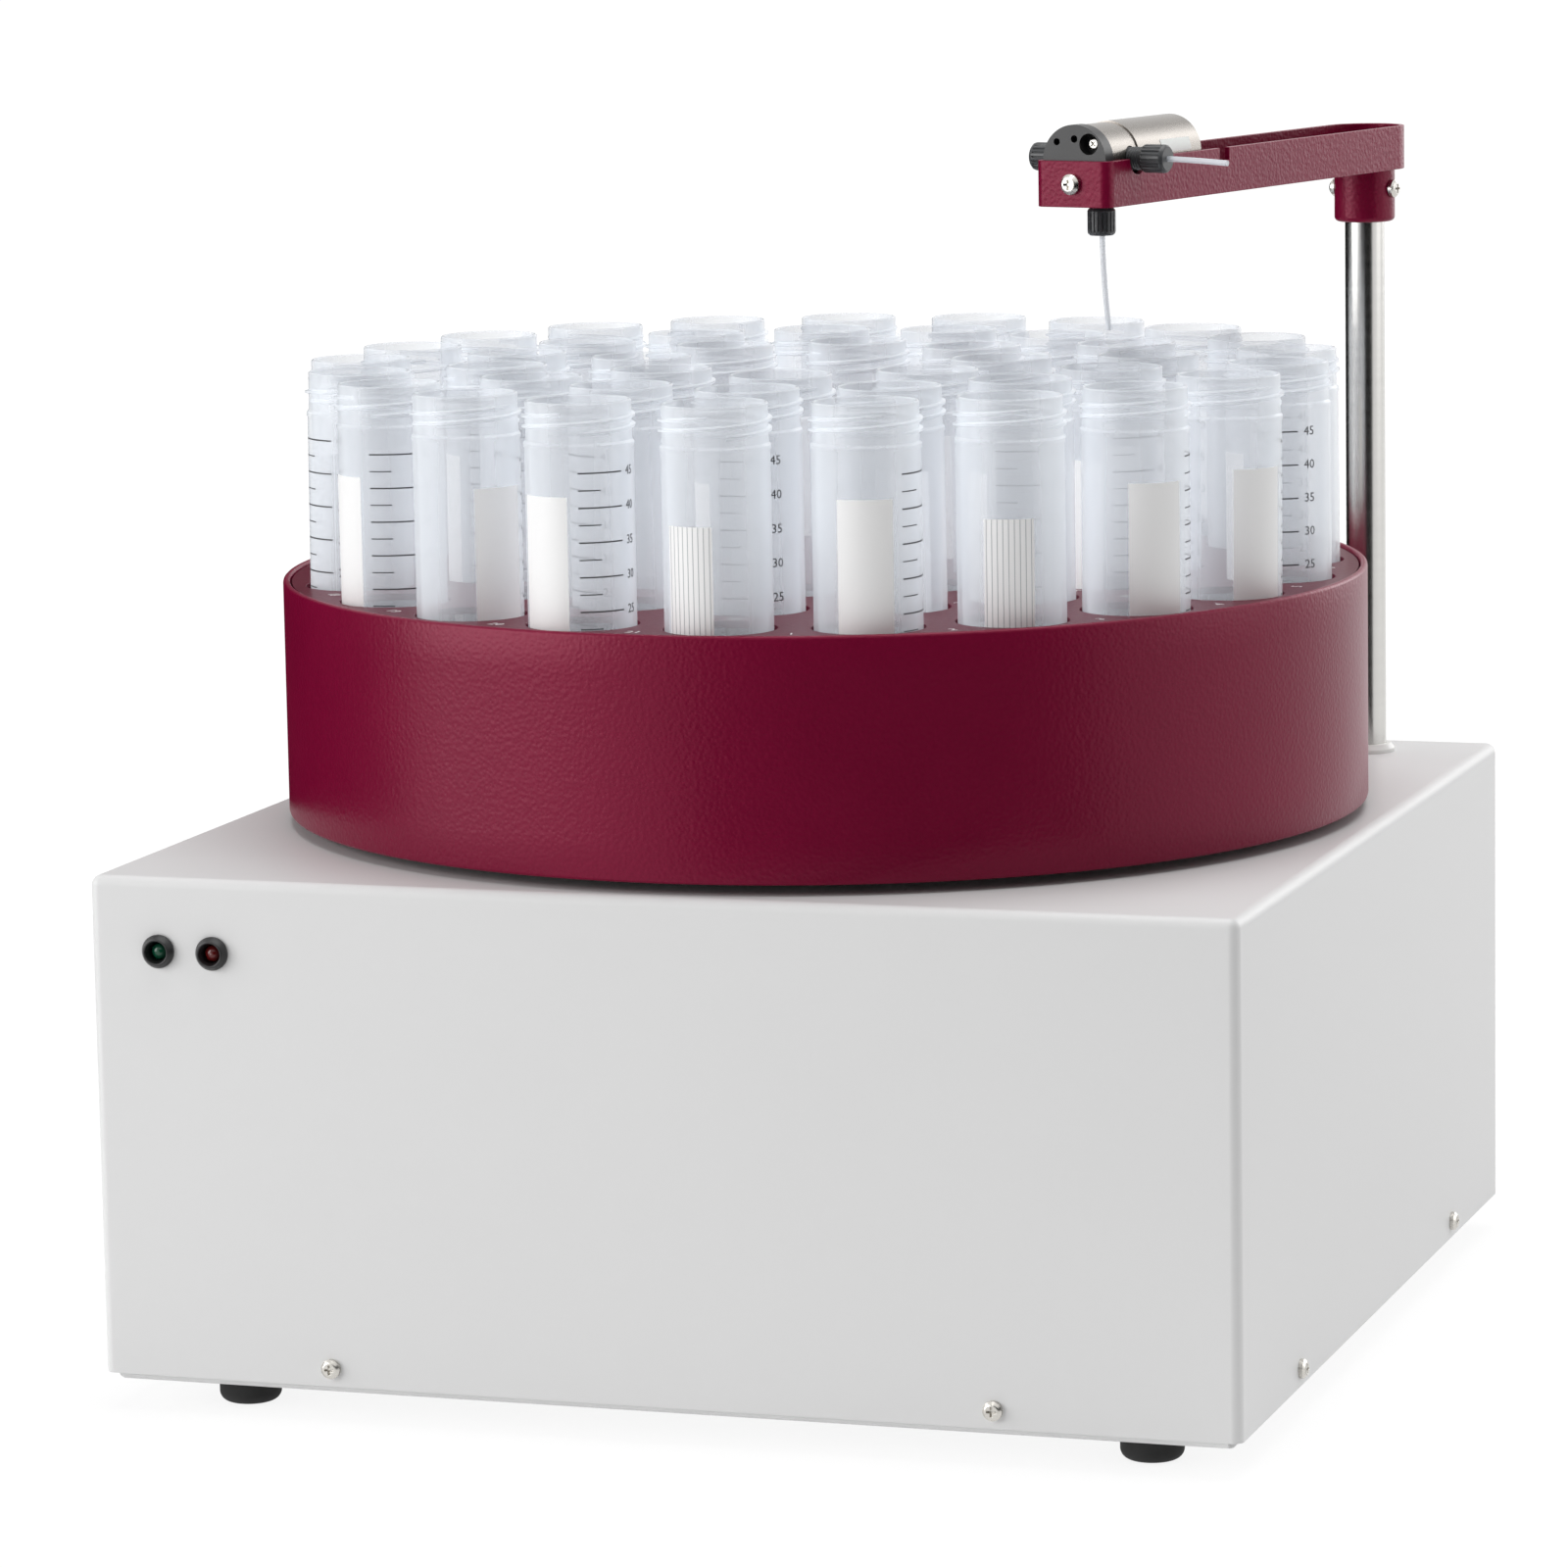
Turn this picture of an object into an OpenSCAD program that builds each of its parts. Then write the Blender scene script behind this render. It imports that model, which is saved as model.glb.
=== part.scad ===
// Carousel fraction collector: a sheet-metal drive housing, a turning drum that
// holds three rings of 50 ml tubes, and a swinging arm with a diverter valve.
// Millimetres. +Z is up, the front faces -Y, and the origin lies on the bench
// below the middle of the housing.

/* [Housing] */
// Width of the hood
hood_w = 330; // [300:1:420]
// Depth of the hood, front to back
hood_d = 324; // [320:1:420]
// Height of the hood's walls, top sheet included
hood_h = 142; // [118:1:190]
// Thickness of the hood's sheet
sheet_t = 2; // [1:0.1:2.4]
// Outer radius of the bend between the hood's top and walls
bend_r = 3; // [2.5:0.1:6]
// Thickness of the tray's sheet
tray_t = 1.5; // [1:0.1:2]
// How far the tray shows below the hood
tray_drop = 2.4; // [1:0.1:6]
// Height of the tray's turned-up walls
tray_wall_h = 22; // [15:1:40]
// Distance between the two cover screws of one wall
cover_screw_pitch = 192; // [120:1:240]
// Height of the cover screws above the hood's lower edge
cover_screw_rise = 5.1; // [4:0.1:9]

/* [Feet] */
// Largest diameter of a rubber foot
foot_d = 18.4; // [12:0.2:26]
// Height of a rubber foot
foot_h = 8; // [5:0.5:16]
// Centre of the left feet from the hood's left wall
foot_in_left = 36; // [16:1:60]
// Centre of the right feet from the hood's right wall
foot_in_right = 30; // [16:1:60]
// Centre of the feet from the front and rear walls
foot_in_y = 20; // [16:1:60]

/* [Carousel] */
// Diameter of the drum
drum_d = 316; // [316:1:380]
// Height of the drum's wall
drum_h = 68.2; // [58:0.2:90]
// Thickness of the drum's wall
drum_t = 2; // [1:0.1:3]
// Gap between the hood's top and the drum
drum_gap = 3; // [2.6:0.1:8]
// Thickness of the turntable disc
turntable_t = 3; // [2:0.1:5]
// Thickness of the two tube plates
plate_t = 2; // [1:0.1:3]
// How far the upper plate lies below the drum's rim
plate_inset = 0.8; // [0.3:0.1:2]
// Length of the spacers between the turntable and the lower plate
low_spacer_h = 15.3; // [13:0.1:22]
// Tubes in the outer ring
outer_count = 21; // [12:1:21]
// Radius of the outer ring
outer_r = 136; // [134:1:138]
// Tubes in the middle ring
middle_count = 15; // [8:1:15]
// Radius of the middle ring
middle_r = 95; // [93:1:97]
// Tubes in the inner ring
inner_count = 8; // [4:1:8]
// Radius of the inner ring
inner_r = 54; // [52:1:56]

/* [Tubes] */
// Outer diameter of a tube
tube_d = 30; // [25:0.5:31]
// Length of a tube
tube_len = 115; // [100:1:120]
// Wall of a tube
tube_wall = 1.3; // [0.8:0.1:2]
// Height of a tube's cone
cone_h = 15.5; // [12:0.5:20]
// Diameter of the flat tip of a tube
tip_d = 6; // [4:0.5:8]
// Gap around a tube in the upper plate
tube_gap = 0.75; // [0.4:0.05:1.2]
// Diameter of the lower plate's holes, in which the cones sit
seat_d = 19; // [16:0.5:22]

/* [Arm] */
// Place of the post, to the right of the drum's axis
post_x = 129.5; // [128:0.5:134]
// Place of the post, behind the drum's axis
post_y = 137.7; // [134:0.5:139]
// Diameter of the post
post_d = 12; // [10:0.5:14]
// Distance from the post to the dispensing tip
arm_reach = 162.3; // [150:0.1:168]
// How far inside the middle ring the tip stands
tip_inset = 2.6; // [0:0.1:4]
// Distance from the tip's axis to the arm's front face
arm_nose = 16.9; // [14.7:0.1:24]
// Outer width of the arm
arm_w = 24; // [23.6:0.1:32]
// Height of the arm's walls, floor included
arm_h = 13; // [12:0.5:20]
// Thickness of the arm's sheet
arm_t = 1.5; // [1:0.1:1.8]
// Clearance between the tubes' rims and the dispensing tip
tip_clear = 10.4; // [6:0.2:30]
// Length of the dispensing tube below its fitting
tip_len = 26.8; // [15:0.2:40]
// Diameter of the hub under the arm
hub_d = 18.3; // [16.5:0.1:24]
// Length of the hub under the arm
hub_h = 15.9; // [12:0.1:24]

/* [Valve] */
// Diameter of the valve's front disc
valve_d = 20.2; // [18:0.1:20.6]
// Thickness of the valve's front disc
disc_t = 4.5; // [4.2:0.1:8]
// Diameter of the solenoid's can
can_d = 20.4; // [19.8:0.1:21]
// Length of the solenoid's can
can_len = 37.2; // [30:0.1:44]
// Diameter of the ribbed heads of the fittings
head_d = 8; // [7:0.1:9]
// Length of the ribbed heads of the fittings
head_len = 7.8; // [7:0.1:14]
// Outer diameter of the tubing
tubing_d = 1.6; // [1.2:0.1:1.6]
// Free length of the tubing at the inlet fitting
stub_len = 19; // [10:1:28]

/* [Drive] */
// Diameter of the spindle
spindle_d = 20; // [18:0.5:20]
// Module of the drive gears
gear_m = 1; // [1:0.1:1]
// Teeth of the spindle's gear
spindle_teeth = 96; // [88:4:96]
// Teeth of the carousel motor's pinion
carousel_teeth = 24; // [20:4:28]
// Teeth of a whole circle of the arm's sector gear
sector_teeth = 72; // [64:4:76]
// Teeth of the arm motor's pinion
arm_teeth = 18; // [18:2:24]
// Side of a stepper motor's square body
motor_w = 42.3; // [42.3:0.1:42.3]
// Length of a stepper motor
motor_len = 40; // [34:1:46]
// Length of the pillars that carry the drive plate
pillar_h = 56; // [54:1:70]

/* [Hidden] */

$fn = 64;
TINY = 0.01;

// Colours
GREY_PAINT = "#dedfe0";
MAROON = "#7d0a3c";
BRIGHT_STEEL = "#c4c5c6";
BLACK_PLASTIC = "#1c1c1e";
CLEAR_TUBE = [0.86, 0.89, 0.93, 0.55];

// Clearances
seat_gap = 0.3;          // between a tube's cone and the edge it sits in
run_gap = 0.05;          // radial, between a shaft and its bush
fit_gap = 0.02;          // radial, between a shaft and what is fixed on it
side_gap = 0.5;          // around the turntable and the plates inside the drum
tray_gap = 0.4;          // between the hood's walls and the tray
corner_gap = 0.25;       // between the ends of two folded walls
mesh_gap = 0.12;         // added to the centre distance of the gears

// Levels
hood_z = foot_h + tray_drop;
top_z = hood_z + hood_h;
under_z = top_z - sheet_t;
drum_z = top_z + drum_gap;
drum_top_z = drum_z + drum_h;
table_z = drum_z + drum_t;
table_top_z = table_z + turntable_t;
low_plate_z = table_top_z + low_spacer_h;
low_plate_top_z = low_plate_z + plate_t;
high_plate_top_z = drum_top_z - plate_inset;
high_plate_z = high_plate_top_z - plate_t;
tube_r = tube_d / 2;
tip_r = tip_d / 2;
seat_rise = (seat_d / 2 - seat_gap - tip_r) * cone_h / (tube_r - tip_r);
tube_z = low_plate_top_z - seat_rise;
rim_z = tube_z + tube_len;
plate_z = under_z - pillar_h;
plate_sheet_t = 2.4;
plate_low_z = plate_z - plate_sheet_t;

// Arm: the rest angle puts the tip over the middle ring
post_dist = norm([post_x, post_y]);
post_bearing = atan2(-post_y, -post_x);
swing_to_middle = acos((post_dist ^ 2 + arm_reach ^ 2 - (middle_r - tip_inset) ^ 2)
                       / (2 * post_dist * arm_reach));
arm_angle = post_bearing + swing_to_middle;
tip_x = post_x + arm_reach * cos(arm_angle);
tip_y = post_y + arm_reach * sin(arm_angle);
tip_angle = atan2(tip_y, tip_x);
tip_z = rim_z + tip_clear;
head_bottom_z = tip_z + tip_len;
outlet_head_len = 7.8;
arm_z = head_bottom_z + outlet_head_len + 1.1;
arm_front = arm_reach + arm_nose;
nose_screw_rise = arm_h / 2;
valve_z = arm_z + arm_h;
sleeve_d = valve_d - 0.5;
core_d = sleeve_d - 3;
disc_front = arm_front - arm_t - 0.2;
disc_back = disc_front - disc_t;
can_front = arm_reach - 4;
can_back = can_front - can_len;
can_t = 1.1;
core_back = arm_reach - 10.3;

// Carousel: one tube of the middle ring stands under the tip at rest
index_step = 3;
index_angle = tip_angle - index_step * 360 / middle_count;
outer_third = floor(outer_count / 3);
middle_half = floor(middle_count / 2);
lift_index = 1;          // a front tube of the outer ring that lifts out
spacer_mid_r = (outer_r + middle_r) / 2;
spacer_in_r = (middle_r + inner_r) / 2;
spacer_d = 7;
plate_screw_d = 3;

// Drive
gear_t = 8;
gear_z = plate_low_z - 12;
spindle_r = spindle_d / 2;
bearing_d = 42;
bearing_h = 12;
race_gap_r = 14.5;
housing_h = 52;
housing_z = under_z - housing_h;
housing_flange_t = 6;
housing_flange_r = 42;
spindle_bottom_z = gear_z - 4;
spindle_flange_r = 34;
spindle_flange_z = top_z + 1.2;
hub_bolt_r = 24;
carousel_motor_x = -(spindle_teeth + carousel_teeth) / 2 * gear_m - mesh_gap;
sector_dist = (sector_teeth + arm_teeth) / 2 * gear_m + mesh_gap;
sector_bearing = 225;
arm_motor_x = post_x + sector_dist * cos(sector_bearing);
arm_motor_y = post_y + sector_dist * sin(sector_bearing);
motor_shaft_d = 5;
motor_boss_d = 22;
motor_screw_pitch = 31;
post_r = post_d / 2;
post_bore_r = post_r - 2;
bush_r = post_r + 2;
block_w = 34;
block_h = 14;
lower_bush_flange_t = 3;
collar_h = 8;
collar_z = plate_z + lower_bush_flange_t + 0.3;
post_bottom_z = gear_z - 4;

// Electrics
screw_head_d = 5.5;
board_t = 1.6;
board_rise = 6;
tray_floor_z = foot_h + tray_t;
board_z = tray_floor_z + board_rise;
led_x = [-144.3, -128.2];           // green, red
led_z = 131.8 - 152.4 + top_z;
led_d = 5;
bezel_d = 9.4;
bezel_out = 2.6;
rear_y = hood_d / 2;
inlet_x = -118;
inlet_z = 60;
rocker_x = -72;
port_xs = [30, 76];
port_z = 60;

// ---------------------------------------------------------------- helpers

// Sheet folded up on four sides: floor at z = 0, walls up to z = h. A welded pan's
// corners are closed and round; otherwise the walls stop short of each other.
module folded_pan(w, d, h, t, r, welded = false) {
    translate([r - w / 2, r - d / 2, 0])
        cube([w - 2 * r, d - 2 * r, t]);
    for (turn = [0, 180])
        rotate(turn) folded_side(w, d, h, t, r, welded);
    for (turn = [90, 270])
        rotate(turn) folded_side(d, w, h, t, r, welded);
    if (welded)
        for (turn = [0, 180])
            rotate(turn) {
                translate([w / 2 - r, d / 2 - r, r])
                    welded_corner(h - r, t, r);
                translate([w / 2 - r, r - d / 2, r])
                    rotate(-90)
                        welded_corner(h - r, t, r);
            }
}

// One wall with its bend
module folded_side(w, d, h, t, r, welded) {
    bend_len = d - 2 * r;
    wall_len = welded ? bend_len : d - 2 * t - 2 * corner_gap;
    translate([w / 2 - r, bend_len / 2, r])
        rotate([90, 0, 0])
            linear_extrude(bend_len)
                mirror([0, 1])
                    quarter_bend(t, r);
    translate([w / 2 - t, -wall_len / 2, r])
        cube([t, wall_len, h - r]);
}

// Profile of a bend of the sheet
module quarter_bend(t, r) {
    intersection() {
        difference() {
            circle(r);
            circle(r - t);
        }
        square(r);
    }
}

// Round corner between two walls, with a ball-shaped end between their bends
module welded_corner(h, t, r) {
    linear_extrude(h)
        quarter_bend(t, r);
    intersection() {
        difference() {
            sphere(r);
            sphere(r - t);
        }
        translate([0, 0, -r])
            cube(r);
    }
}

module ring(outer, inner, h) {
    difference() {
        cylinder(r = outer, h = h);
        translate([0, 0, -1])
            cylinder(r = inner, h = h + 2);
    }
}

module at_ring(radius, count, first = 0, last = -1) {
    stop = last < 0 ? count - 1 : last;
    for (i = [first:stop])
        rotate(index_angle + i * 360 / count)
            translate([radius, 0, 0])
                children();
}

module at_four(dx, dy) {
    for (sx = [-1, 1], sy = [-1, 1])
        translate([sx * dx / 2, sy * dy / 2, 0])
            children();
}

// Pan-head screw: the head's flat face at z = 0, the shank below it
module pan_screw(head, shank, len) {
    head_h = head * 0.38;
    difference() {
        union() {
            translate([0, 0, -len])
                cylinder(d = shank, h = len + TINY);
            cylinder(d = head, h = head_h * 0.55);
            translate([0, 0, head_h * 0.55])
                cylinder(d1 = head, d2 = head * 0.62, h = head_h * 0.45);
        }
        for (turn = [0, 90])
            rotate(turn)
                translate([-head * 0.25, -head * 0.06, head_h * 0.45])
                    cube([head * 0.5, head * 0.12, head_h]);
    }
}

// Spur gear with straight-sided teeth, a gap centred on +X
module gear_profile(teeth, m) {
    pitch_r = teeth * m / 2;
    root_r = pitch_r - 1.25 * m;
    tip_r = pitch_r + 0.9 * m;
    step = 360 / teeth;
    polygon([for (i = [0:teeth - 1], k = [0:3])
        let (mid = (i + 0.5) * step,
             half = step * (k == 0 || k == 3 ? 0.34 : 0.12),
             side = k < 2 ? -1 : 1,
             radius = k == 0 || k == 3 ? root_r : tip_r)
        radius * [cos(mid + side * half), sin(mid + side * half)]]);
}

// Round tube along a list of points
module swept_tube(path, radius, sides = 8) {
    last = len(path) - 1;
    function heading(i) = let (d = path[min(i + 1, last)] - path[max(i - 1, 0)]) d / norm(d);
    function across(d) = let (c = cross(d, abs(d.z) > 0.9 ? [1, 0, 0] : [0, 0, 1])) c / norm(c);
    points = [for (i = [0:last], k = [0:sides - 1])
        let (d = heading(i), a = across(d), b = cross(d, a), turn = 360 * k / sides)
        path[i] + radius * (cos(turn) * a + sin(turn) * b)];
    walls = [for (i = [0:last - 1], k = [0:sides - 1])
        let (p = i * sides + k, q = i * sides + (k + 1) % sides)
        [p, p + sides, q + sides, q]];
    caps = [[for (k = [0:sides - 1]) k],
            [for (k = [sides - 1:-1:0]) last * sides + k]];
    polyhedron(points, concat(walls, caps));
}

// Places its children in the arm's own frame: X along the arm, from the post
module in_arm() {
    translate([post_x, post_y, 0])
        rotate(arm_angle)
            children();
}

// ---------------------------------------------------------------- housing

module hood() {
    color(GREY_PAINT)
        difference() {
            translate([0, 0, top_z])
                mirror([0, 0, 1])
                    folded_pan(hood_w, hood_d, hood_h, sheet_t, bend_r, welded = true);
            translate([0, 0, under_z - 1])
                cylinder(r = 16, h = sheet_t + 2);
            translate([post_x, post_y, under_z - 1])
                cylinder(r = bush_r + 0.1, h = sheet_t + 2);
            for (x = led_x)
                translate([x, -hood_d / 2 - 1, led_z])
                    rotate([-90, 0, 0])
                        cylinder(d = led_d + 2.8, h = sheet_t + 2);
            cover_screw_places()
                translate([0, 0, -sheet_t - 1])
                    cylinder(d = 3.4, h = sheet_t + 2);
            rear_cutouts();
            vent_slots();
        }
}

// Slots for cooling air, high in the rear wall
module vent_slots() {
    slot_w = 2.5;
    slot_h = 28;
    for (i = [-5.5:5.5])
        translate([i * 7, rear_y - sheet_t / 2, top_z - 42])
            cube([slot_w, sheet_t + 2, slot_h], center = true);
}

// Axes of the cover screws, z pointing out of the wall at its outer face
module cover_screw_places() {
    z = hood_z + cover_screw_rise;
    for (s = [-1, 1]) {
        for (sy = [-1, 1])
            translate([s * cover_screw_pitch / 2, sy * hood_d / 2, z])
                rotate([-sy * 90, 0, 0])
                    children();
        for (sx = [-1, 1])
            translate([sx * hood_w / 2, s * cover_screw_pitch / 2, z])
                rotate([0, sx * 90, 0])
                    children();
    }
}

module cover_screws() {
    color(BRIGHT_STEEL)
        cover_screw_places()
            pan_screw(screw_head_d, 2.9, 8);
}

module bottom_tray() {
    inset = sheet_t + tray_gap;
    color(GREY_PAINT)
        difference() {
            translate([0, 0, foot_h])
                folded_pan(hood_w - 2 * inset, hood_d - 2 * inset, tray_wall_h, tray_t, 2);
            cover_screw_places()
                translate([0, 0, -inset - tray_t - 1])
                    cylinder(d = 3, h = inset + tray_t + 1);
            foot_places()
                translate([0, 0, foot_h - 1])
                    cylinder(d = 4.2, h = tray_t + 2);
            translate([-hood_w / 2 + 20, 62, 0])
                for (i = [0:11])
                    translate([i * 7, 0, foot_h - 1])
                        cube([3, 40, tray_t + 2]);
        }
}

module foot_places() {
    for (x = [-hood_w / 2 + foot_in_left, hood_w / 2 - foot_in_right], sy = [-1, 1])
        translate([x, sy * (hood_d / 2 - foot_in_y), 0])
            children();
}

module feet() {
    edge = 3;
    color(BLACK_PLASTIC)
        foot_places()
            difference() {
                rotate_extrude() {
                    square([foot_d / 2 - edge, foot_h]);
                    translate([0, edge])
                        square([foot_d / 2 - 0.4, foot_h - edge]);
                    translate([foot_d / 2 - edge - 0.4, edge])
                        intersection() {
                            circle(edge);
                            translate([0, -edge])
                                square(edge);
                        }
                    translate([0, foot_h - 1.6])
                        square([foot_d / 2, 1.6]);
                }
                translate([0, 0, -1])
                    cylinder(d = 8, h = 4.2);
                cylinder(d = 4.2, h = foot_h + 1);
            }
}

module foot_screws() {
    color(BRIGHT_STEEL)
        foot_places()
            translate([0, 0, 3.2])
                rotate([180, 0, 0])
                    pan_screw(7, 4, foot_h + 2);
}

// ---------------------------------------------------------------- front lamps

module led_bezels() {
    collar_d = led_d + 2.6;
    color(BLACK_PLASTIC)
        for (x = led_x)
            translate([x, -hood_d / 2, led_z])
                rotate([90, 0, 0])
                    difference() {
                        union() {
                            cylinder(d = bezel_d, h = 1);
                            translate([0, 0, 1])
                                cylinder(d1 = bezel_d, d2 = bezel_d - 2, h = bezel_out - 1);
                            translate([0, 0, -8])
                                cylinder(d = collar_d, h = 8 + TINY);
                        }
                        translate([0, 0, -9])
                            cylinder(d = led_d + 0.2, h = 20);
                        translate([0, 0, 0.6])
                            cylinder(d1 = led_d + 0.2, d2 = bezel_d - 2.6, h = bezel_out);
                    }
}

module led(x) {
    body_len = 7;
    translate([x, -hood_d / 2, led_z])
        rotate([90, 0, 0]) {
            translate([0, 0, -body_len])
                cylinder(d = led_d, h = body_len - 1.2);
            translate([0, 0, -1.2])
                intersection() {
                    sphere(d = led_d);
                    cylinder(d = led_d + 1, h = led_d);
                }
            for (s = [-1, 1])
                translate([s * 1.27 - 0.25, -0.25, -body_len - 12])
                    cube([0.5, 0.5, 12 + TINY]);
        }
}

module led_green() {
    color("#0d5a35")
        led(led_x[0]);
}

module led_red() {
    color("#7a1210")
        led(led_x[1]);
}

// ---------------------------------------------------------------- drive

// Flat plate under the hood that carries both motors and the lower bush
module drive_plate() {
    color(BRIGHT_STEEL)
        difference() {
            translate([0, 0, plate_low_z]) {
                translate([-94, -42, 0])
                    cube([246, 84, plate_sheet_t]);
                translate([56, -42, 0])
                    cube([96, 194, plate_sheet_t]);
            }
            translate([0, 0, plate_low_z - 1]) {
                cylinder(r = 30, h = 10);
                translate([post_x, post_y, 0])
                    cylinder(r = bush_r + 0.1, h = 10);
                motor_places() {
                    cylinder(d = motor_boss_d + 0.4, h = 10);
                    at_four(motor_screw_pitch, motor_screw_pitch)
                        cylinder(d = 3.3, h = 10);
                }
                pillar_places()
                    cylinder(d = 4.2, h = 10);
            }
        }
}

module motor_places() {
    translate([carousel_motor_x, 0, 0])
        children();
    translate([arm_motor_x, arm_motor_y, 0])
        children();
}

module pillar_places() {
    for (p = [[-86, -34], [-86, 34], [48, -34], [144, -34], [64, 144], [144, 96]])
        translate(p)
            children();
}

module drive_pillars() {
    color(BRIGHT_STEEL)
        pillar_places() {
            translate([0, 0, plate_z])
                cylinder(d = 9, h = pillar_h, $fn = 6);
            translate([0, 0, plate_low_z])
                rotate([180, 0, 0])
                    pan_screw(7, 4, plate_sheet_t + TINY);
        }
}

module bearing_housing() {
    color("#b9bcc0")
        difference() {
            union() {
                translate([0, 0, housing_z])
                    cylinder(d = bearing_d + 10, h = housing_h);
                translate([0, 0, under_z - housing_flange_t])
                    cylinder(r = housing_flange_r, h = housing_flange_t);
            }
            translate([0, 0, housing_z - 1])
                cylinder(d = bearing_d - 8, h = housing_h + 2);
            for (z = [housing_z - 1, under_z - bearing_h])
                translate([0, 0, z])
                    cylinder(d = bearing_d, h = bearing_h + 1);
        }
}

module bearing_outer_rings() {
    color(BRIGHT_STEEL)
        for (z = [housing_z, under_z - bearing_h])
            translate([0, 0, z])
                ring(bearing_d / 2 - fit_gap, race_gap_r + run_gap, bearing_h);
}

module bearing_inner_rings() {
    color(BRIGHT_STEEL)
        for (z = [housing_z, under_z - bearing_h])
            translate([0, 0, z])
                ring(race_gap_r - run_gap, spindle_r + fit_gap, bearing_h);
}

// Shaft with the flange that carries the turntable
module spindle() {
    color(BRIGHT_STEEL)
        difference() {
            union() {
                translate([0, 0, spindle_bottom_z])
                    cylinder(r = spindle_r, h = table_top_z + 2 - spindle_bottom_z);
                translate([0, 0, spindle_flange_z])
                    cylinder(r = spindle_flange_r, h = table_z - spindle_flange_z);
            }
            translate([0, 0, gear_z - 2])
                ring(spindle_r + 1, spindle_r - 0.8, 1.2);
            hub_bolt_places()
                translate([0, 0, spindle_flange_z - 1])
                    cylinder(d = 3.4, h = 10);
        }
}

module hub_bolt_places() {
    for (turn = [45:90:315])
        rotate(turn)
            translate([hub_bolt_r, 0, 0])
                children();
}

module hub_bolts() {
    color(BRIGHT_STEEL)
        hub_bolt_places()
            translate([0, 0, table_top_z])
                pan_screw(7, 3.4, turntable_t + table_z - spindle_flange_z);
}

module spindle_gear() {
    color("#e6e2d4")
        difference() {
            union() {
                translate([0, 0, gear_z])
                    linear_extrude(gear_t)
                        gear_profile(spindle_teeth, gear_m);
                translate([0, 0, gear_z])
                    cylinder(r = spindle_r + 6, h = gear_t + 5);
                translate([0, 0, gear_z])
                    cylinder(r = spindle_r + 3, h = housing_z - gear_z);
            }
            translate([0, 0, gear_z - 1])
                cylinder(r = spindle_r + fit_gap, h = housing_z - gear_z + 2);
            for (turn = [30:60:330])
                rotate(turn)
                    translate([30, 0, gear_z - 1])
                        cylinder(d = 18, h = gear_t + 2);
        }
}

module spindle_circlip() {
    color("#3a3a3c")
        translate([0, 0, gear_z - 2])
            difference() {
                ring(spindle_r + 2.2, spindle_r - 0.8, 1.2);
                translate([0, -3, -1])
                    cube([spindle_r + 4, 6, 4]);
            }
}

// Square stepper motor: its mounting face at z = 0, the body above it
module stepper() {
    bevel = 5;
    difference() {
        union() {
            translate([0, 0, 0])
                intersection() {
                    translate([-motor_w / 2, -motor_w / 2, 0])
                        cube([motor_w, motor_w, motor_len]);
                    rotate(45)
                        translate([-motor_w / 2 - bevel, -motor_w / 2 - bevel, 0])
                            cube([motor_w + 2 * bevel, motor_w + 2 * bevel, motor_len]);
                }
            translate([0, 0, -2])
                cylinder(d = motor_boss_d, h = 2 + TINY);
        }
        translate([0, 0, -3])
            cylinder(d = motor_shaft_d + 1, h = motor_len - 2);
        at_four(motor_screw_pitch, motor_screw_pitch)
            translate([0, 0, -1])
                cylinder(d = 3, h = 6);
        for (turn = [0:90:270], z = [9, motor_len - 10])
            rotate(turn)
                translate([motor_w / 2 - 0.6, -motor_w / 2 - 1, z])
                    cube([2, motor_w + 2, 1]);
    }
}

module carousel_motor() {
    color("#2b2d30")
        translate([carousel_motor_x, 0, plate_z])
            stepper();
}

module arm_motor() {
    color("#2b2d30")
        translate([arm_motor_x, arm_motor_y, plate_z])
            stepper();
}

// Rotor shaft, which ends flush with the pinion
module motor_shaft() {
    translate([0, 0, gear_z - 1])
        cylinder(d = motor_shaft_d, h = plate_z - gear_z + motor_len - 8);
}

module carousel_motor_shaft() {
    color(BRIGHT_STEEL)
        translate([carousel_motor_x, 0, 0])
            motor_shaft();
}

module arm_motor_shaft() {
    color(BRIGHT_STEEL)
        translate([arm_motor_x, arm_motor_y, 0])
            motor_shaft();
}

module pinion(teeth) {
    difference() {
        translate([0, 0, gear_z]) {
            linear_extrude(gear_t)
                gear_profile(teeth, gear_m);
            cylinder(r = teeth * gear_m / 2 - 2.5, h = gear_t + 0.8);
        }
        translate([0, 0, gear_z - 1])
            cylinder(r = motor_shaft_d / 2 + fit_gap, h = gear_t + 3);
    }
}

// A pinion's gap faces +X here; turned by half a tooth, a tooth faces its gear
module carousel_pinion() {
    color("#c9a54f")
        translate([carousel_motor_x, 0, 0])
            rotate(180 / carousel_teeth)
                pinion(carousel_teeth);
}

module arm_pinion() {
    color("#c9a54f")
        translate([arm_motor_x, arm_motor_y, 0])
            rotate(sector_bearing + 180 + 180 / arm_teeth)
                pinion(arm_teeth);
}

module motor_screws() {
    color(BRIGHT_STEEL)
        motor_places()
            at_four(motor_screw_pitch, motor_screw_pitch)
                translate([0, 0, plate_low_z])
                    rotate([180, 0, 0])
                        pan_screw(5.5, 3, plate_sheet_t + 4.5);
}

module post_block() {
    color("#b9bcc0")
        difference() {
            translate([post_x - block_w / 2, post_y - block_w / 2, under_z - block_h])
                cube([block_w, block_w, block_h]);
            translate([post_x, post_y, under_z - block_h - 1])
                cylinder(r = bush_r, h = block_h + 2);
        }
}

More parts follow.
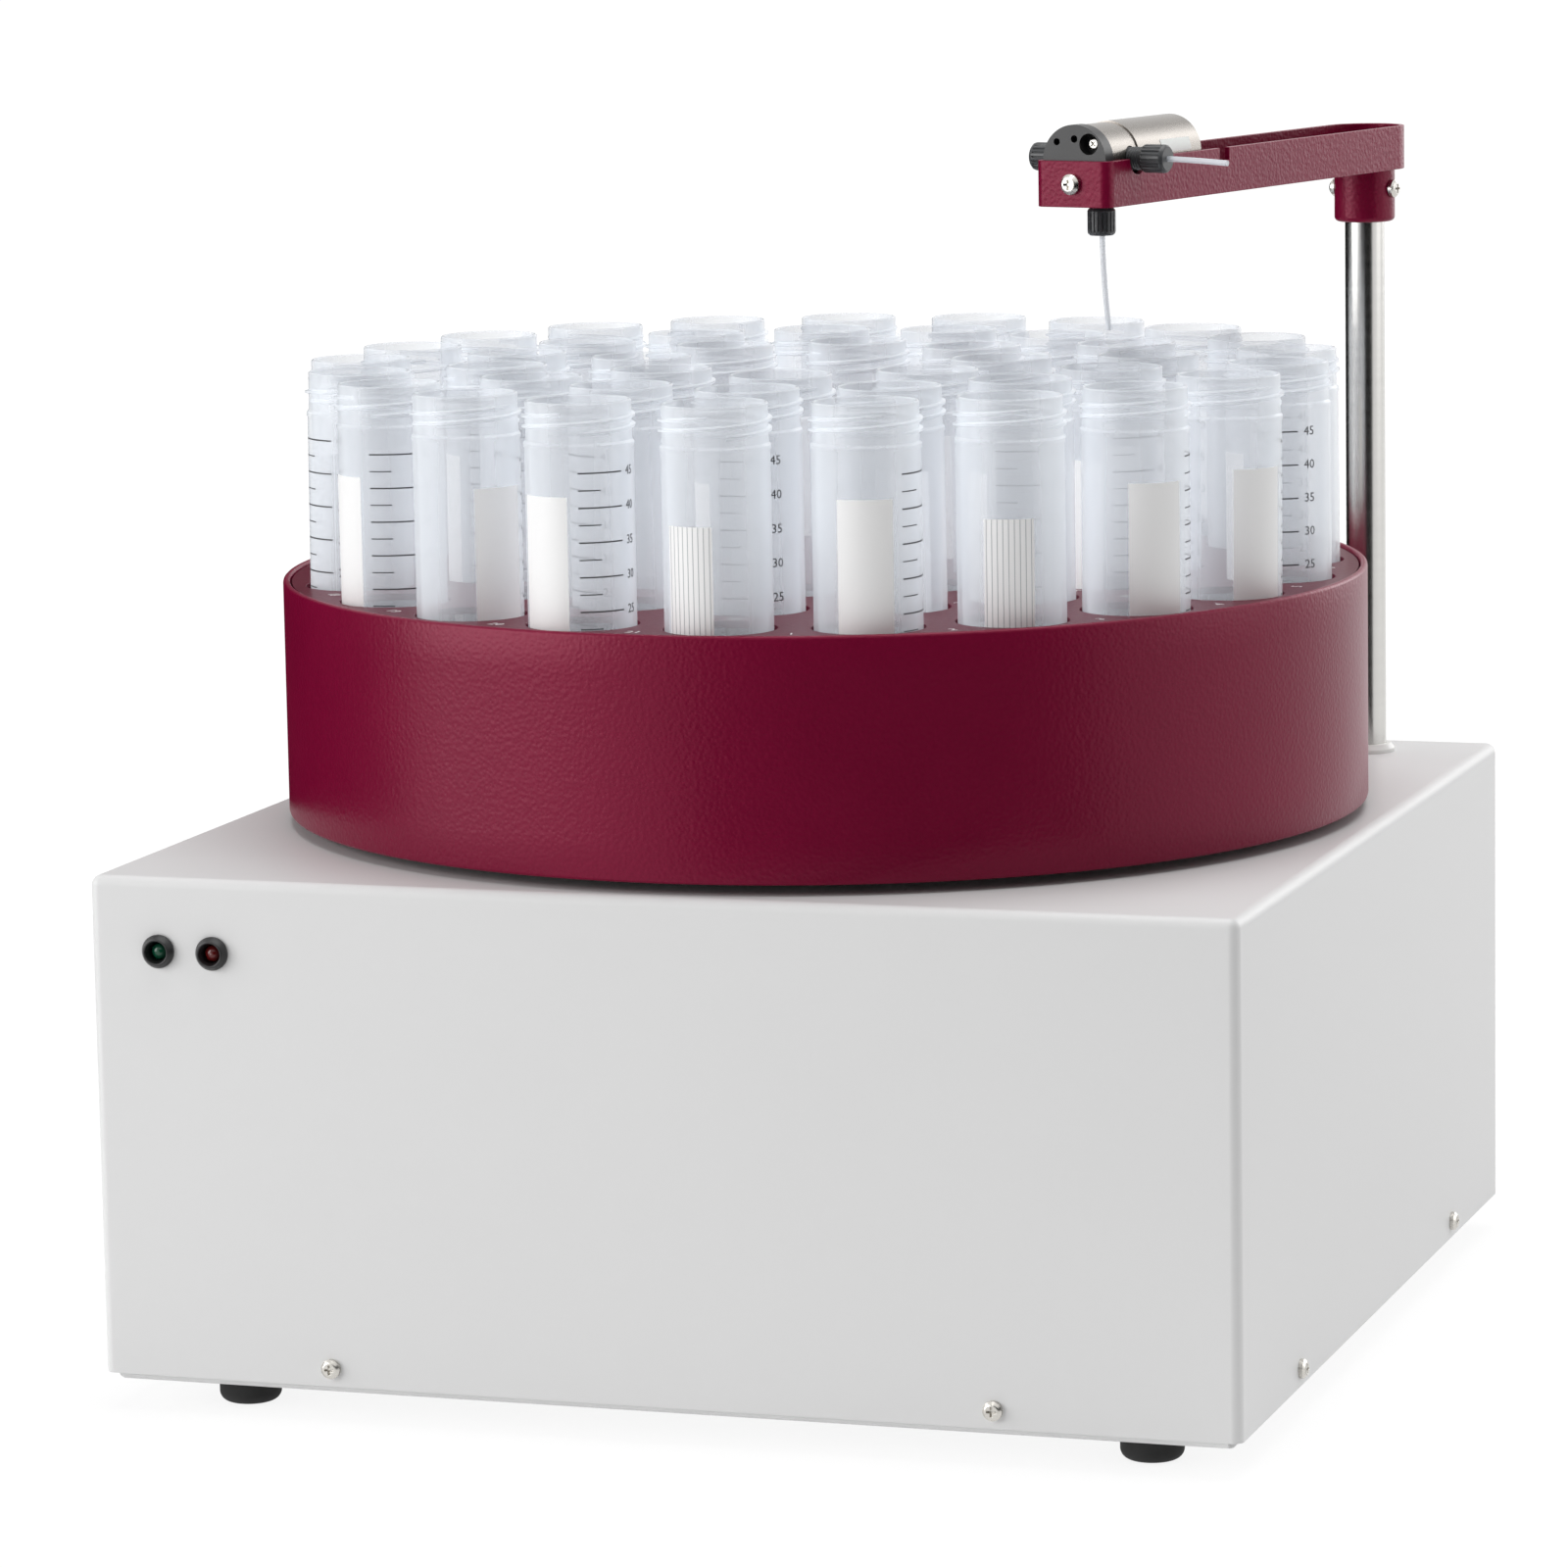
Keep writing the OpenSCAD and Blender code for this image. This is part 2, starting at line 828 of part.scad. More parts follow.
// White flanged bush; its bevelled flange shows on top of the hood
module upper_bush() {
    flange_h = 2.6;
    color("#f2f2ef")
        translate([post_x, post_y, 0])
            difference() {
                union() {
                    translate([0, 0, under_z - block_h])
                        cylinder(r = bush_r, h = block_h + sheet_t);
                    translate([0, 0, top_z])
                        cylinder(r = bush_r + 0.6, h = flange_h * 0.4);
                    translate([0, 0, top_z + flange_h * 0.4])
                        cylinder(r1 = bush_r + 0.6, r2 = bush_r - 0.5, h = flange_h * 0.6);
                }
                translate([0, 0, under_z - block_h - 1])
                    cylinder(r = post_r + run_gap, h = block_h + sheet_t + flange_h + 2);
            }
}

module lower_bush() {
    color("#f2f2ef")
        translate([post_x, post_y, 0])
            difference() {
                union() {
                    translate([0, 0, plate_low_z - 1])
                        cylinder(r = bush_r, h = plate_sheet_t + 1);
                    translate([0, 0, plate_z])
                        cylinder(r = bush_r + 3, h = lower_bush_flange_t);
                }
                translate([0, 0, plate_low_z - 2])
                    cylinder(r = post_r + run_gap, h = 10);
            }
}

module post_collar() {
    color(BRIGHT_STEEL)
        translate([post_x, post_y, collar_z])
            ring(post_r + 5, post_r + fit_gap, collar_h);
}

// Toothed sector on the post; a gap faces the arm motor's pinion
module sector_gear() {
    ahead = 48;
    behind = 32;
    outer = sector_teeth * gear_m / 2 + 4;
    color("#e6e2d4")
        translate([post_x, post_y, gear_z])
            difference() {
                union() {
                    intersection() {
                        rotate(sector_bearing)
                            linear_extrude(gear_t)
                                gear_profile(sector_teeth, gear_m);
                        linear_extrude(gear_t)
                            polygon(concat([[0, 0]], [for (a = [-ahead:8:behind])
                                outer * [cos(sector_bearing + a), sin(sector_bearing + a)]]));
                    }
                    cylinder(r = post_r + 6, h = gear_t + 2);
                }
                translate([0, 0, -1])
                    cylinder(r = post_r + fit_gap, h = gear_t + 4);
            }
}

module arm_post() {
    color(BRIGHT_STEEL)
        translate([post_x, post_y, post_bottom_z])
            ring(post_r, post_bore_r, arm_z + arm_t - post_bottom_z);
}

// ---------------------------------------------------------------- carousel

module turntable() {
    color(BRIGHT_STEEL)
        translate([0, 0, table_z])
            difference() {
                cylinder(r = drum_d / 2 - drum_t - side_gap, h = turntable_t, $fn = 128);
                translate([0, 0, -1])
                    cylinder(r = spindle_r + 0.1, h = turntable_t + 2);
                hub_bolt_places()
                    translate([0, 0, -1])
                        cylinder(d = 3.5, h = turntable_t + 2);
            }
}

// Painted drum: a wall with a full-round rim and a lip under the turntable
module drum() {
    lip_w = 6;
    radius = drum_d / 2;
    edge = drum_t / 2;
    color(MAROON)
        translate([0, 0, drum_z])
            rotate_extrude($fn = 128) {
                translate([radius - drum_t - lip_w, 0])
                    square([drum_t + lip_w - edge, drum_t]);
                translate([radius - drum_t, edge])
                    square([drum_t, drum_h - 2 * edge]);
                translate([radius - edge, edge])
                    circle(edge);
                translate([radius - edge, drum_h - edge])
                    circle(edge);
            }
}

module spacer_places() {
    for (turn = [0:60:300])
        rotate(index_angle + turn)
            translate([spacer_mid_r, 0, 0])
                children();
    for (turn = [0:120:240])
        rotate(index_angle + turn)
            translate([spacer_in_r, 0, 0])
                children();
}

module plate_spacers() {
    low_spacers();
    high_spacers();
}

module low_spacers() {
    color(BRIGHT_STEEL)
        spacer_places()
            translate([0, 0, table_top_z])
                cylinder(d = spacer_d, h = low_spacer_h);
}

module high_spacers() {
    color(BRIGHT_STEEL)
        spacer_places()
            translate([0, 0, low_plate_top_z])
                difference() {
                    cylinder(d = spacer_d, h = high_plate_z - low_plate_top_z);
                    translate([0, 0, high_plate_z - low_plate_top_z - 8])
                        cylinder(d = plate_screw_d, h = 10);
                }
}

module plate_disc() {
    cylinder(r = drum_d / 2 - drum_t - side_gap, h = plate_t, $fn = 128);
}

module lower_plate() {
    color(BRIGHT_STEEL)
        translate([0, 0, low_plate_z])
            difference() {
                plate_disc();
                translate([0, 0, -1])
                    all_tube_places()
                        cylinder(d = seat_d, h = plate_t + 2);
            }
}

module upper_plate() {
    color("#8c4a5c")
        translate([0, 0, high_plate_z])
            difference() {
                plate_disc();
                translate([0, 0, -1])
                    all_tube_places()
                        cylinder(r = tube_r + tube_gap, h = plate_t + 2);
                spacer_places() {
                    translate([0, 0, -1])
                        cylinder(d = plate_screw_d + 0.4, h = plate_t + 2);
                    translate([0, 0, plate_t - 1.2])
                        cylinder(d1 = plate_screw_d + 0.4, d2 = plate_screw_d + 3, h = 1.21);
                }
            }
}

module turntable_screws() {
    hub_bolts();
    plate_screws();
}

// Countersunk screws, flush with the upper plate
module plate_screws() {
    color(BRIGHT_STEEL)
        spacer_places()
            translate([0, 0, high_plate_top_z]) {
                translate([0, 0, -7])
                    cylinder(d = plate_screw_d, h = 6);
                translate([0, 0, -1.2])
                    cylinder(d1 = plate_screw_d, d2 = plate_screw_d + 2.6, h = 1.2);
            }
}

module all_tube_places() {
    at_ring(outer_r, outer_count)
        children();
    at_ring(middle_r, middle_count)
        children();
    at_ring(inner_r, inner_count)
        children();
}

// ---------------------------------------------------------------- tubes

// 50 ml centrifuge tube: cone, straight body and a neck with two thread ridges
module tube() {
    neck_r = tube_r - 0.4;
    inner_r = tube_r - tube_wall;
    inner_tip_r = tip_r - tube_wall;
    ridge = 1.1;
    rise = 12;
    translate([0, 0, tube_z])
        rotate_extrude()
            polygon([[0, 0], [tip_r, 0], [tube_r, cone_h], [tube_r, tube_len - rise],
                     [neck_r, tube_len - rise + 0.8],
                     [neck_r, tube_len - 9], [neck_r + ridge, tube_len - 8.3],
                     [neck_r + ridge, tube_len - 7.8], [neck_r, tube_len - 7.1],
                     [neck_r, tube_len - 5.6], [neck_r + ridge, tube_len - 4.9],
                     [neck_r + ridge, tube_len - 4.4], [neck_r, tube_len - 3.7],
                     [neck_r, tube_len], [inner_r, tube_len], [inner_r, cone_h + 0.4],
                     [inner_tip_r, tube_wall + 0.5], [0, tube_wall + 0.5]]);
}

// The outer ring's tubes in three groups, without the one that lifts out
module outer_group(first, last) {
    color(CLEAR_TUBE)
        for (i = [first:last])
            if (i != lift_index)
                at_ring(outer_r, outer_count, i, i)
                    tube();
}

module tubes_outer_right() {
    outer_group(0, outer_third);
}

module tubes_outer_rear() {
    outer_group(outer_third + 1, 2 * outer_third);
}

module tubes_outer_left() {
    outer_group(2 * outer_third + 1, outer_count - 1);
}

module tubes_middle_right() {
    color(CLEAR_TUBE)
        at_ring(middle_r, middle_count, 0, middle_half)
            tube();
}

module tubes_middle_left() {
    color(CLEAR_TUBE)
        at_ring(middle_r, middle_count, middle_half + 1, middle_count - 1)
            tube();
}

module tubes_inner() {
    color(CLEAR_TUBE)
        at_ring(inner_r, inner_count)
            tube();
}

module lift_tube() {
    color(CLEAR_TUBE)
        at_ring(outer_r, outer_count, lift_index, lift_index)
            tube();
}

// ---------------------------------------------------------------- arm

// Plan of the arm: round about the post, blunt at the front
module arm_outline(half, front, corner) {
    circle(half);
    translate([0, -half])
        square([front - corner, 2 * half]);
    translate([0, corner - half])
        square([front, 2 * (half - corner)]);
    for (s = [-1, 1])
        translate([front - corner, s * (half - corner)])
            circle(corner);
}

module arm_channel() {
    corner = 3;
    notch_r = 4.5;
    slot_along = arm_reach - 54;
    color(MAROON)
        in_arm()
            translate([0, 0, arm_z])
                difference() {
                    linear_extrude(arm_h)
                        arm_outline(arm_w / 2, arm_front, corner);
                    translate([0, 0, arm_t])
                        linear_extrude(arm_h)
                            arm_outline(arm_w / 2 - arm_t, arm_front - arm_t, corner - arm_t);
                    translate([arm_reach, 0, arm_h])
                        rotate([90, 0, 0])
                            cylinder(r = notch_r, h = arm_w + 2, center = true);
                    translate([slot_along, 0, arm_h - 3.7])
                        cube([5.7, arm_w, 10]);
                    translate([arm_reach, 0, -1])
                        cylinder(d = head_d + 0.8, h = arm_t + 2);
                    translate([0, 0, -1])
                        cylinder(r = post_r + fit_gap, h = arm_t + 2);
                    translate([arm_front - arm_t - 1, 0, nose_screw_rise])
                        rotate([0, 90, 0])
                            cylinder(d = 3.4, h = arm_t + 2);
                }
}

module nose_screw() {
    color(BRIGHT_STEEL)
        in_arm()
            translate([arm_front, 0, arm_z + nose_screw_rise])
                rotate([0, 90, 0])
                    pan_screw(5.8, 3, 8);
}

module arm_screws() {
    nose_screw();
    hub_screws();
}

module arm_hub() {
    edge = 1.5;
    radius = hub_d / 2;
    color(MAROON)
        translate([post_x, post_y, arm_z - hub_h])
            rotate(arm_angle)
                difference() {
                    rotate_extrude() {
                        square([radius - edge, hub_h]);
                        translate([0, edge])
                            square([radius, hub_h - edge]);
                        translate([radius - edge, edge])
                            circle(edge);
                    }
                    translate([0, 0, -1])
                        cylinder(r = post_r + fit_gap, h = hub_h + 2);
                    hub_screw_places()
                        translate([0, 0, -hub_d / 2])
                            cylinder(d = 3, h = hub_d);
                }
}

// Two set screws across the arm, z pointing outwards from the hub's axis
module hub_screw_places() {
    rise = 10;
    for (turn = [90, 270])
        rotate(turn)
            translate([hub_d / 2, 0, rise])
                rotate([0, 90, 0])
                    children();
}

module hub_screws() {
    color(BRIGHT_STEEL)
        translate([post_x, post_y, arm_z - hub_h])
            rotate(arm_angle)
                hub_screw_places()
                    pan_screw(5.4, 3, (hub_d - post_d) / 2 - fit_gap);
}

// ---------------------------------------------------------------- valve

// Places its children on the valve's axis, x along the arm
module on_valve_axis(along = 0) {
    in_arm()
        translate([along, 0, valve_z])
            children();
}

// A cylinder along the arm, from x = low to x = high
module lying(r, low, high) {
    translate([low, 0, 0])
        rotate([0, 90, 0])
            cylinder(r = r, h = high - low);
}

// The valve's three ports: left, right and down, z pointing out of the port
module port_places() {
    for (turn = [90, 270])
        translate([arm_reach, 0, 0])
            rotate([turn, 0, 0])
                children();
    outlet_place()
        children();
}

module outlet_place() {
    translate([arm_reach, 0, 0])
        rotate([180, 0, 0])
            children();
}

thread_r = 3.1;
valve_screw_r = 6.6;
valve_screw_turns = [45, 225];
valve_screw_x = disc_front - 4;
valve_screw_len = valve_screw_x - arm_reach - thread_r - 0.4;
disc_holes = [[90, 6.1, 1.05], [137, 7.7, 1]];      // turn, distance from the axis, radius
port_depth = 4.5;
plunger_r = 3.8;

module valve_body() {
    color(BLACK_PLASTIC)
        on_valve_axis()
            difference() {
                union() {
                    lying(valve_d / 2, disc_back, disc_front);
                    lying(core_d / 2, core_back, disc_back + TINY);
                }
                port_places()
                    translate([0, 0, port_depth])
                        cylinder(r = thread_r, h = core_d);
                port_places()
                    cylinder(r = 0.8, h = core_d);
                lying(plunger_r + 0.3, core_back - 1, core_back + 4.5);
                lying(0.8, core_back, arm_reach);
                for (turn = valve_screw_turns)
                    rotate([turn, 0, 0])
                        translate([0, valve_screw_r, 0]) {
                            lying(3, valve_screw_x, disc_front + 1);
                            lying(1.2, valve_screw_x - valve_screw_len - 0.2, disc_front);
                        }
                for (hole = disc_holes)
                    rotate([hole[0], 0, 0])
                        translate([0, hole[1], 0])
                            lying(hole[2], disc_front - 3, disc_front + 1);
                translate([0, 0, arm_z + nose_screw_rise - valve_z])
                    lying(1.5, disc_front - 7, disc_front + 1);
            }
}

module valve_screws() {
    color(BRIGHT_STEEL)
        on_valve_axis()
            for (turn = valve_screw_turns)
                rotate([turn, 0, 0])
                    translate([valve_screw_x, valve_screw_r, 0])
                        rotate([0, 90, 0])
                            pan_screw(3.8, 2.2, valve_screw_len);
}

// Nickel-plated sleeve around the valve's core
module valve_sleeve() {
    color("#a9a49c")
        on_valve_axis()
            difference() {
                lying(sleeve_d / 2, can_front, disc_back);
                lying(core_d / 2 + fit_gap, can_front - 1, disc_back + 1);
                port_places()
                    cylinder(r = thread_r + 0.4, h = valve_d);
            }
}

module solenoid_can() {
    edge = 0.8;
    color("#a9a49c")
        on_valve_axis()
            difference() {
                union() {
                    lying(can_d / 2, can_back + edge, can_front);
                    translate([can_back, 0, 0])
                        rotate([0, 90, 0])
                            cylinder(r1 = can_d / 2 - edge, r2 = can_d / 2, h = edge + TINY);
                }
                lying(can_d / 2 - can_t, can_back + 1.5, can_front + 1);
                lying(2.4, can_back - 1, can_back + 3);
            }
}

// Coil inside the can, behind the valve's core
module solenoid_coil() {
    color("#b5652b")
        on_valve_axis()
            difference() {
                lying(can_d / 2 - can_t - 0.2, can_back + 1.7, core_back - 0.2);
                lying(plunger_r + 0.3, can_back + 3, core_back);
            }
}

// Sliding core of the valve; it moves towards the post when the coil pulls
module valve_plunger() {
    color(BRIGHT_STEEL)
        on_valve_axis()
            lying(plunger_r, can_back + 4.6, core_back + 4.2);
}

// Finger-tight fitting: threaded shank, ribbed head and a bore for tubing
module fitting(shank_start, head_start, length) {
    ribs = 16;
    difference() {
        union() {
            translate([0, 0, shank_start])
                cylinder(r = thread_r - 0.1, h = head_start - shank_start + TINY);
            for (z = [head_start - 3.4:1:head_start - 0.6])
                translate([0, 0, z])
                    cylinder(r = thread_r + 0.15, h = 0.5);
            translate([0, 0, head_start])
                linear_extrude(length)
                    difference() {
                        circle(d = head_d);
                        for (i = [0:ribs - 1])
                            rotate(i * 360 / ribs)
                                translate([head_d / 2 + 0.1, 0])
                                    circle(0.45);
                    }
        }
        translate([0, 0, shank_start - 1])
            cylinder(d = tubing_d + 0.1, h = length + head_start);
    }
}

side_head_start = arm_w / 2 + 1.8;
shank_start = port_depth + 0.3;

module side_fittings() {
    color("#3f4144")
        on_valve_axis()
            for (turn = [90, 270])
                translate([arm_reach, 0, 0])
                    rotate([turn, 0, 0])
                        fitting(shank_start, side_head_start, head_len);
}

module outlet_fitting() {
    color("#3f4144")
        on_valve_axis()
            outlet_place()
                fitting(shank_start, valve_z - head_bottom_z - outlet_head_len, outlet_head_len);
}

// Dispensing tube and the open stub of the inlet tube, both with their bore
module tubing() {
    color([0.85, 0.87, 0.92, 0.7])
        on_valve_axis() {
            outlet_place()
                translate([0, 0, shank_start])
                    ring(tubing_d / 2, tubing_d / 4, valve_z - tip_z - shank_start);
            translate([arm_reach, 0, 0])
                rotate([270, 0, 0])
                    translate([0, 0, shank_start])
                        ring(tubing_d / 2, tubing_d / 4,
                             side_head_start + head_len + stub_len - shank_start);
        }
}

// Two wires from the coil along the arm's floor and down the hollow post
module valve_wires() {
    wire_r = 0.8;
    floor_z = arm_z + arm_t + wire_r + 0.2;
    color("#2a2a2c")
        in_arm()
            for (s = [-1, 1])
                swept_tube([[can_back + 1.6, s * 1.1, valve_z], [can_back - 6, s * 1.1, valve_z - 0.6],
                            [can_back - 13, s * 1.2, valve_z - 5], [can_back - 22, s * 1.3, floor_z],
                            [can_back - 50, s * 2.4, floor_z], [can_back - 80, s * 1.4, floor_z],
                            [12, s * 1.4, floor_z], [5, s * 1.4, floor_z - 0.4],
                            [1.6, s * 1.4, floor_z - 3], [0.4, s * 1.4, floor_z - 10],
                            [0, s * 1.4, floor_z - 60], [0, s * 1.4, post_bottom_z + 2]], wire_r);
}

// ---------------------------------------------------------------- electrics

// Power supply and control board on posts of the tray
module circuit_boards() {
    color("#1f6b3a") {
        translate([-150, 40, board_z])
            cube([100, 78, board_t]);
        translate([0, -140, board_z])
            cube([150, 100, board_t]);
    }
    color(BRIGHT_STEEL)
        for (p = [[-144, 46], [-56, 46], [-144, 112], [-56, 112],
                  [6, -134], [144, -134], [6, -46], [144, -46]])
            translate([p[0], p[1], tray_floor_z])
                cylinder(d = 6, h = board_rise + TINY);
    color("#2a2a2c") {
        translate([-120, 60, board_z + board_t - TINY])
            cube([34, 30, 26]);
        translate([-70, 66, board_z + board_t - TINY])
            cube([12, 40, 24]);
        for (p = [[30, -110], [70, -110], [110, -110]])
            translate([p[0], p[1], board_z + board_t - TINY])
                cube([22, 22, 3]);
        for (i = [0:4])
            translate([20 + i * 24, -58, board_z + board_t - TINY])
                cube([16, 8, 10]);
    }
    color("#20304a")
        for (p = [[-134, 100], [-134, 84], [20, -80], [40, -80]])
            translate([p[0], p[1], board_z + board_t - TINY])
                cylinder(d = 12, h = 20);
}

// Openings in the rear wall: mains inlet, switch and two signal ports
module rear_cutouts() {
    translate([inlet_x, rear_y, inlet_z])
        cube([inlet_body_w + 0.6, 3 * sheet_t + 2, inlet_body_h + 0.6], center = true);
    translate([rocker_x, rear_y, inlet_z])
        cube([rocker_w + 3, 3 * sheet_t + 2, rocker_h + 3], center = true);
    for (x = port_xs)
        translate([x, rear_y, port_z])
            cube([20, 3 * sheet_t + 2, 11], center = true);
}

inlet_body_w = 27;
inlet_body_h = 20;
inlet_flange_t = 3;
rocker_w = 12;
rocker_h = 20;

// Three-pole inlet and the switch's frame, snapped into the rear wall
module mains_inlet() {
    depth = 24;
    color(BLACK_PLASTIC) {
        translate([inlet_x, rear_y, inlet_z]) {
            difference() {
                union() {
                    translate([-20, 0, -14])
                        cube([40, inlet_flange_t, 28]);
                    translate([-inlet_body_w / 2, -depth, -inlet_body_h / 2])
                        cube([inlet_body_w, depth + TINY, inlet_body_h]);
                }
                translate([-12, inlet_flange_t - 16, -8])
                    cube([24, 17, 16]);
            }
        }
        translate([rocker_x, rear_y, inlet_z])
            difference() {
                union() {
                    translate([-rocker_w / 2 - 3, 0, -rocker_h / 2 - 3])
                        cube([rocker_w + 6, 2, rocker_h + 6]);
                    translate([-rocker_w / 2 - 1.3, -18, -rocker_h / 2 - 1.3])
                        cube([rocker_w + 2.6, 18 + TINY, rocker_h + 2.6]);
                }
                translate([-rocker_w / 2 - 0.3, -11, -rocker_h / 2 - 0.5])
                    cube([rocker_w + 0.6, 14, rocker_h + 1]);
            }
    }
    color("#c9b37a")
        for (p = [[0, 2.5], [-6, -2], [6, -2]])
            translate([inlet_x + p[0] - 1, rear_y - 13 - TINY, inlet_z + p[1] - 2])
                cube([2, 10, 4]);
}

// Rocker, tilted to off; it turns about its pin near the wall's outer face
module power_rocker() {
    pin_back = 4;
    tilt = 8;
    color(BLACK_PLASTIC)
        translate([rocker_x, rear_y - pin_back, inlet_z])
            rotate([tilt, 0, 0])
                translate([-rocker_w / 2, 0, 0])
                    rotate([90, 0, 90])
                        linear_extrude(rocker_w)
                            polygon([[-4, -3], [4, -rocker_h / 2 + 1], [7, -rocker_h / 2 + 1],
                                     [5.4, 0], [7, rocker_h / 2 - 1], [4, rocker_h / 2 - 1],
                                     [-4, 3]]);
}

// Two nine-pole ports with their screw posts
module rear_connectors() {
    color("#8f9296")
        for (x = port_xs)
            translate([x, rear_y, port_z]) {
                difference() {
                    translate([-15.4, 0, -6.2])
                        cube([30.8, 0.8, 12.4]);
                    for (s = [-1, 1])
                        translate([s * 12.5, -1, 0])
                            rotate([-90, 0, 0])
                                cylinder(d = 2.4, h = 3);
                }
                translate([-9, -12, -4.6])
                    cube([18, 17.5, 9.2]);
                for (s = [-1, 1])
                    translate([s * 12.5, 0.4, 0])
                        rotate([-90, 0, 0])
                            cylinder(d = 4.6, h = 4, $fn = 6);
            }
}

// ---------------------------------------------------------------- nodes

hood();
bottom_tray();
feet();
foot_screws();
cover_screws();
led_bezels();
led_green();
led_red();
drive_plate();
drive_pillars();
bearing_housing();
bearing_outer_rings();
bearing_inner_rings();
spindle();
spindle_gear();
spindle_circlip();
carousel_motor();
carousel_pinion();
carousel_motor_shaft();
motor_screws();
arm_motor();
arm_pinion();
arm_motor_shaft();
post_block();
upper_bush();
lower_bush();
post_collar();
sector_gear();
arm_post();
turntable();
drum();
plate_spacers();
lower_plate();
upper_plate();
turntable_screws();
tubes_outer_right();
tubes_outer_rear();
tubes_outer_left();
tubes_middle_right();
tubes_middle_left();
tubes_inner();
lift_tube();
arm_hub();
arm_channel();
arm_screws();
valve_body();
valve_screws();
valve_sleeve();
solenoid_can();
solenoid_coil();
valve_plunger();
side_fittings();
outlet_fitting();
tubing();
valve_wires();
circuit_boards();
mains_inlet();
power_rocker();
rear_connectors();
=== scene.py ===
"""Looks of a carousel fraction collector, built around its packed mechanical model.

Metres, +Z up, the front faces -Y. The camera stands where the photograph was taken.
"""
import logging
import math
import random
from dataclasses import dataclass, field
from enum import Enum

import bmesh
import bpy
from mathutils import Matrix, Vector


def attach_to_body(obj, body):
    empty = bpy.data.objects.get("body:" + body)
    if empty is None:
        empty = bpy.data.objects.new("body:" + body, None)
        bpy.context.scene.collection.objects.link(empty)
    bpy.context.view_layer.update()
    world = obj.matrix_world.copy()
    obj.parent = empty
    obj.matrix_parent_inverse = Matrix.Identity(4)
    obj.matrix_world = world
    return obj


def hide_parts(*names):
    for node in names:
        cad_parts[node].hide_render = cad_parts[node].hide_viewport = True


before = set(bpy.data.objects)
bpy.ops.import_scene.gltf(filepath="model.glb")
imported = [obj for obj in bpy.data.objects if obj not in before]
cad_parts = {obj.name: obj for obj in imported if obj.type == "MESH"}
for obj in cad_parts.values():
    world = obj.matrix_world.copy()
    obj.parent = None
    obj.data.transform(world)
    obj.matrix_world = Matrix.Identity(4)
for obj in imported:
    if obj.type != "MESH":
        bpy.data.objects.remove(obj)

LOG = logging.getLogger("fraction_collector")
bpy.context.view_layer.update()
MM = 0.001
BROAD_CELLS = 22.0   # cells per metre of a finish's broad cloudiness
GLOSS_SWING = 0.07   # how far the cloudiness moves the roughness
VEIL_BLEND = 0.35    # how soon a clear wall turns milky at a grazing angle
MERGE = 0.002 * MM   # a copied node's corners nearer than this are one
FLAT_DEG = 0.5       # its folds below this are no edges,
SHARP_DEG = 30.0     # above this they stay sharp,
BEVEL_DEG = 50.0     # and above this they are softened
SKIN = 0.05 * MM     # how far prints and bores stand off

Colour = tuple[float, float, float]
Point = tuple[float, float, float]


class Grain(Enum):
    """What makes up the relief of a finish."""

    PEBBLED = "pebbled"
    CLOUDED = "clouded"


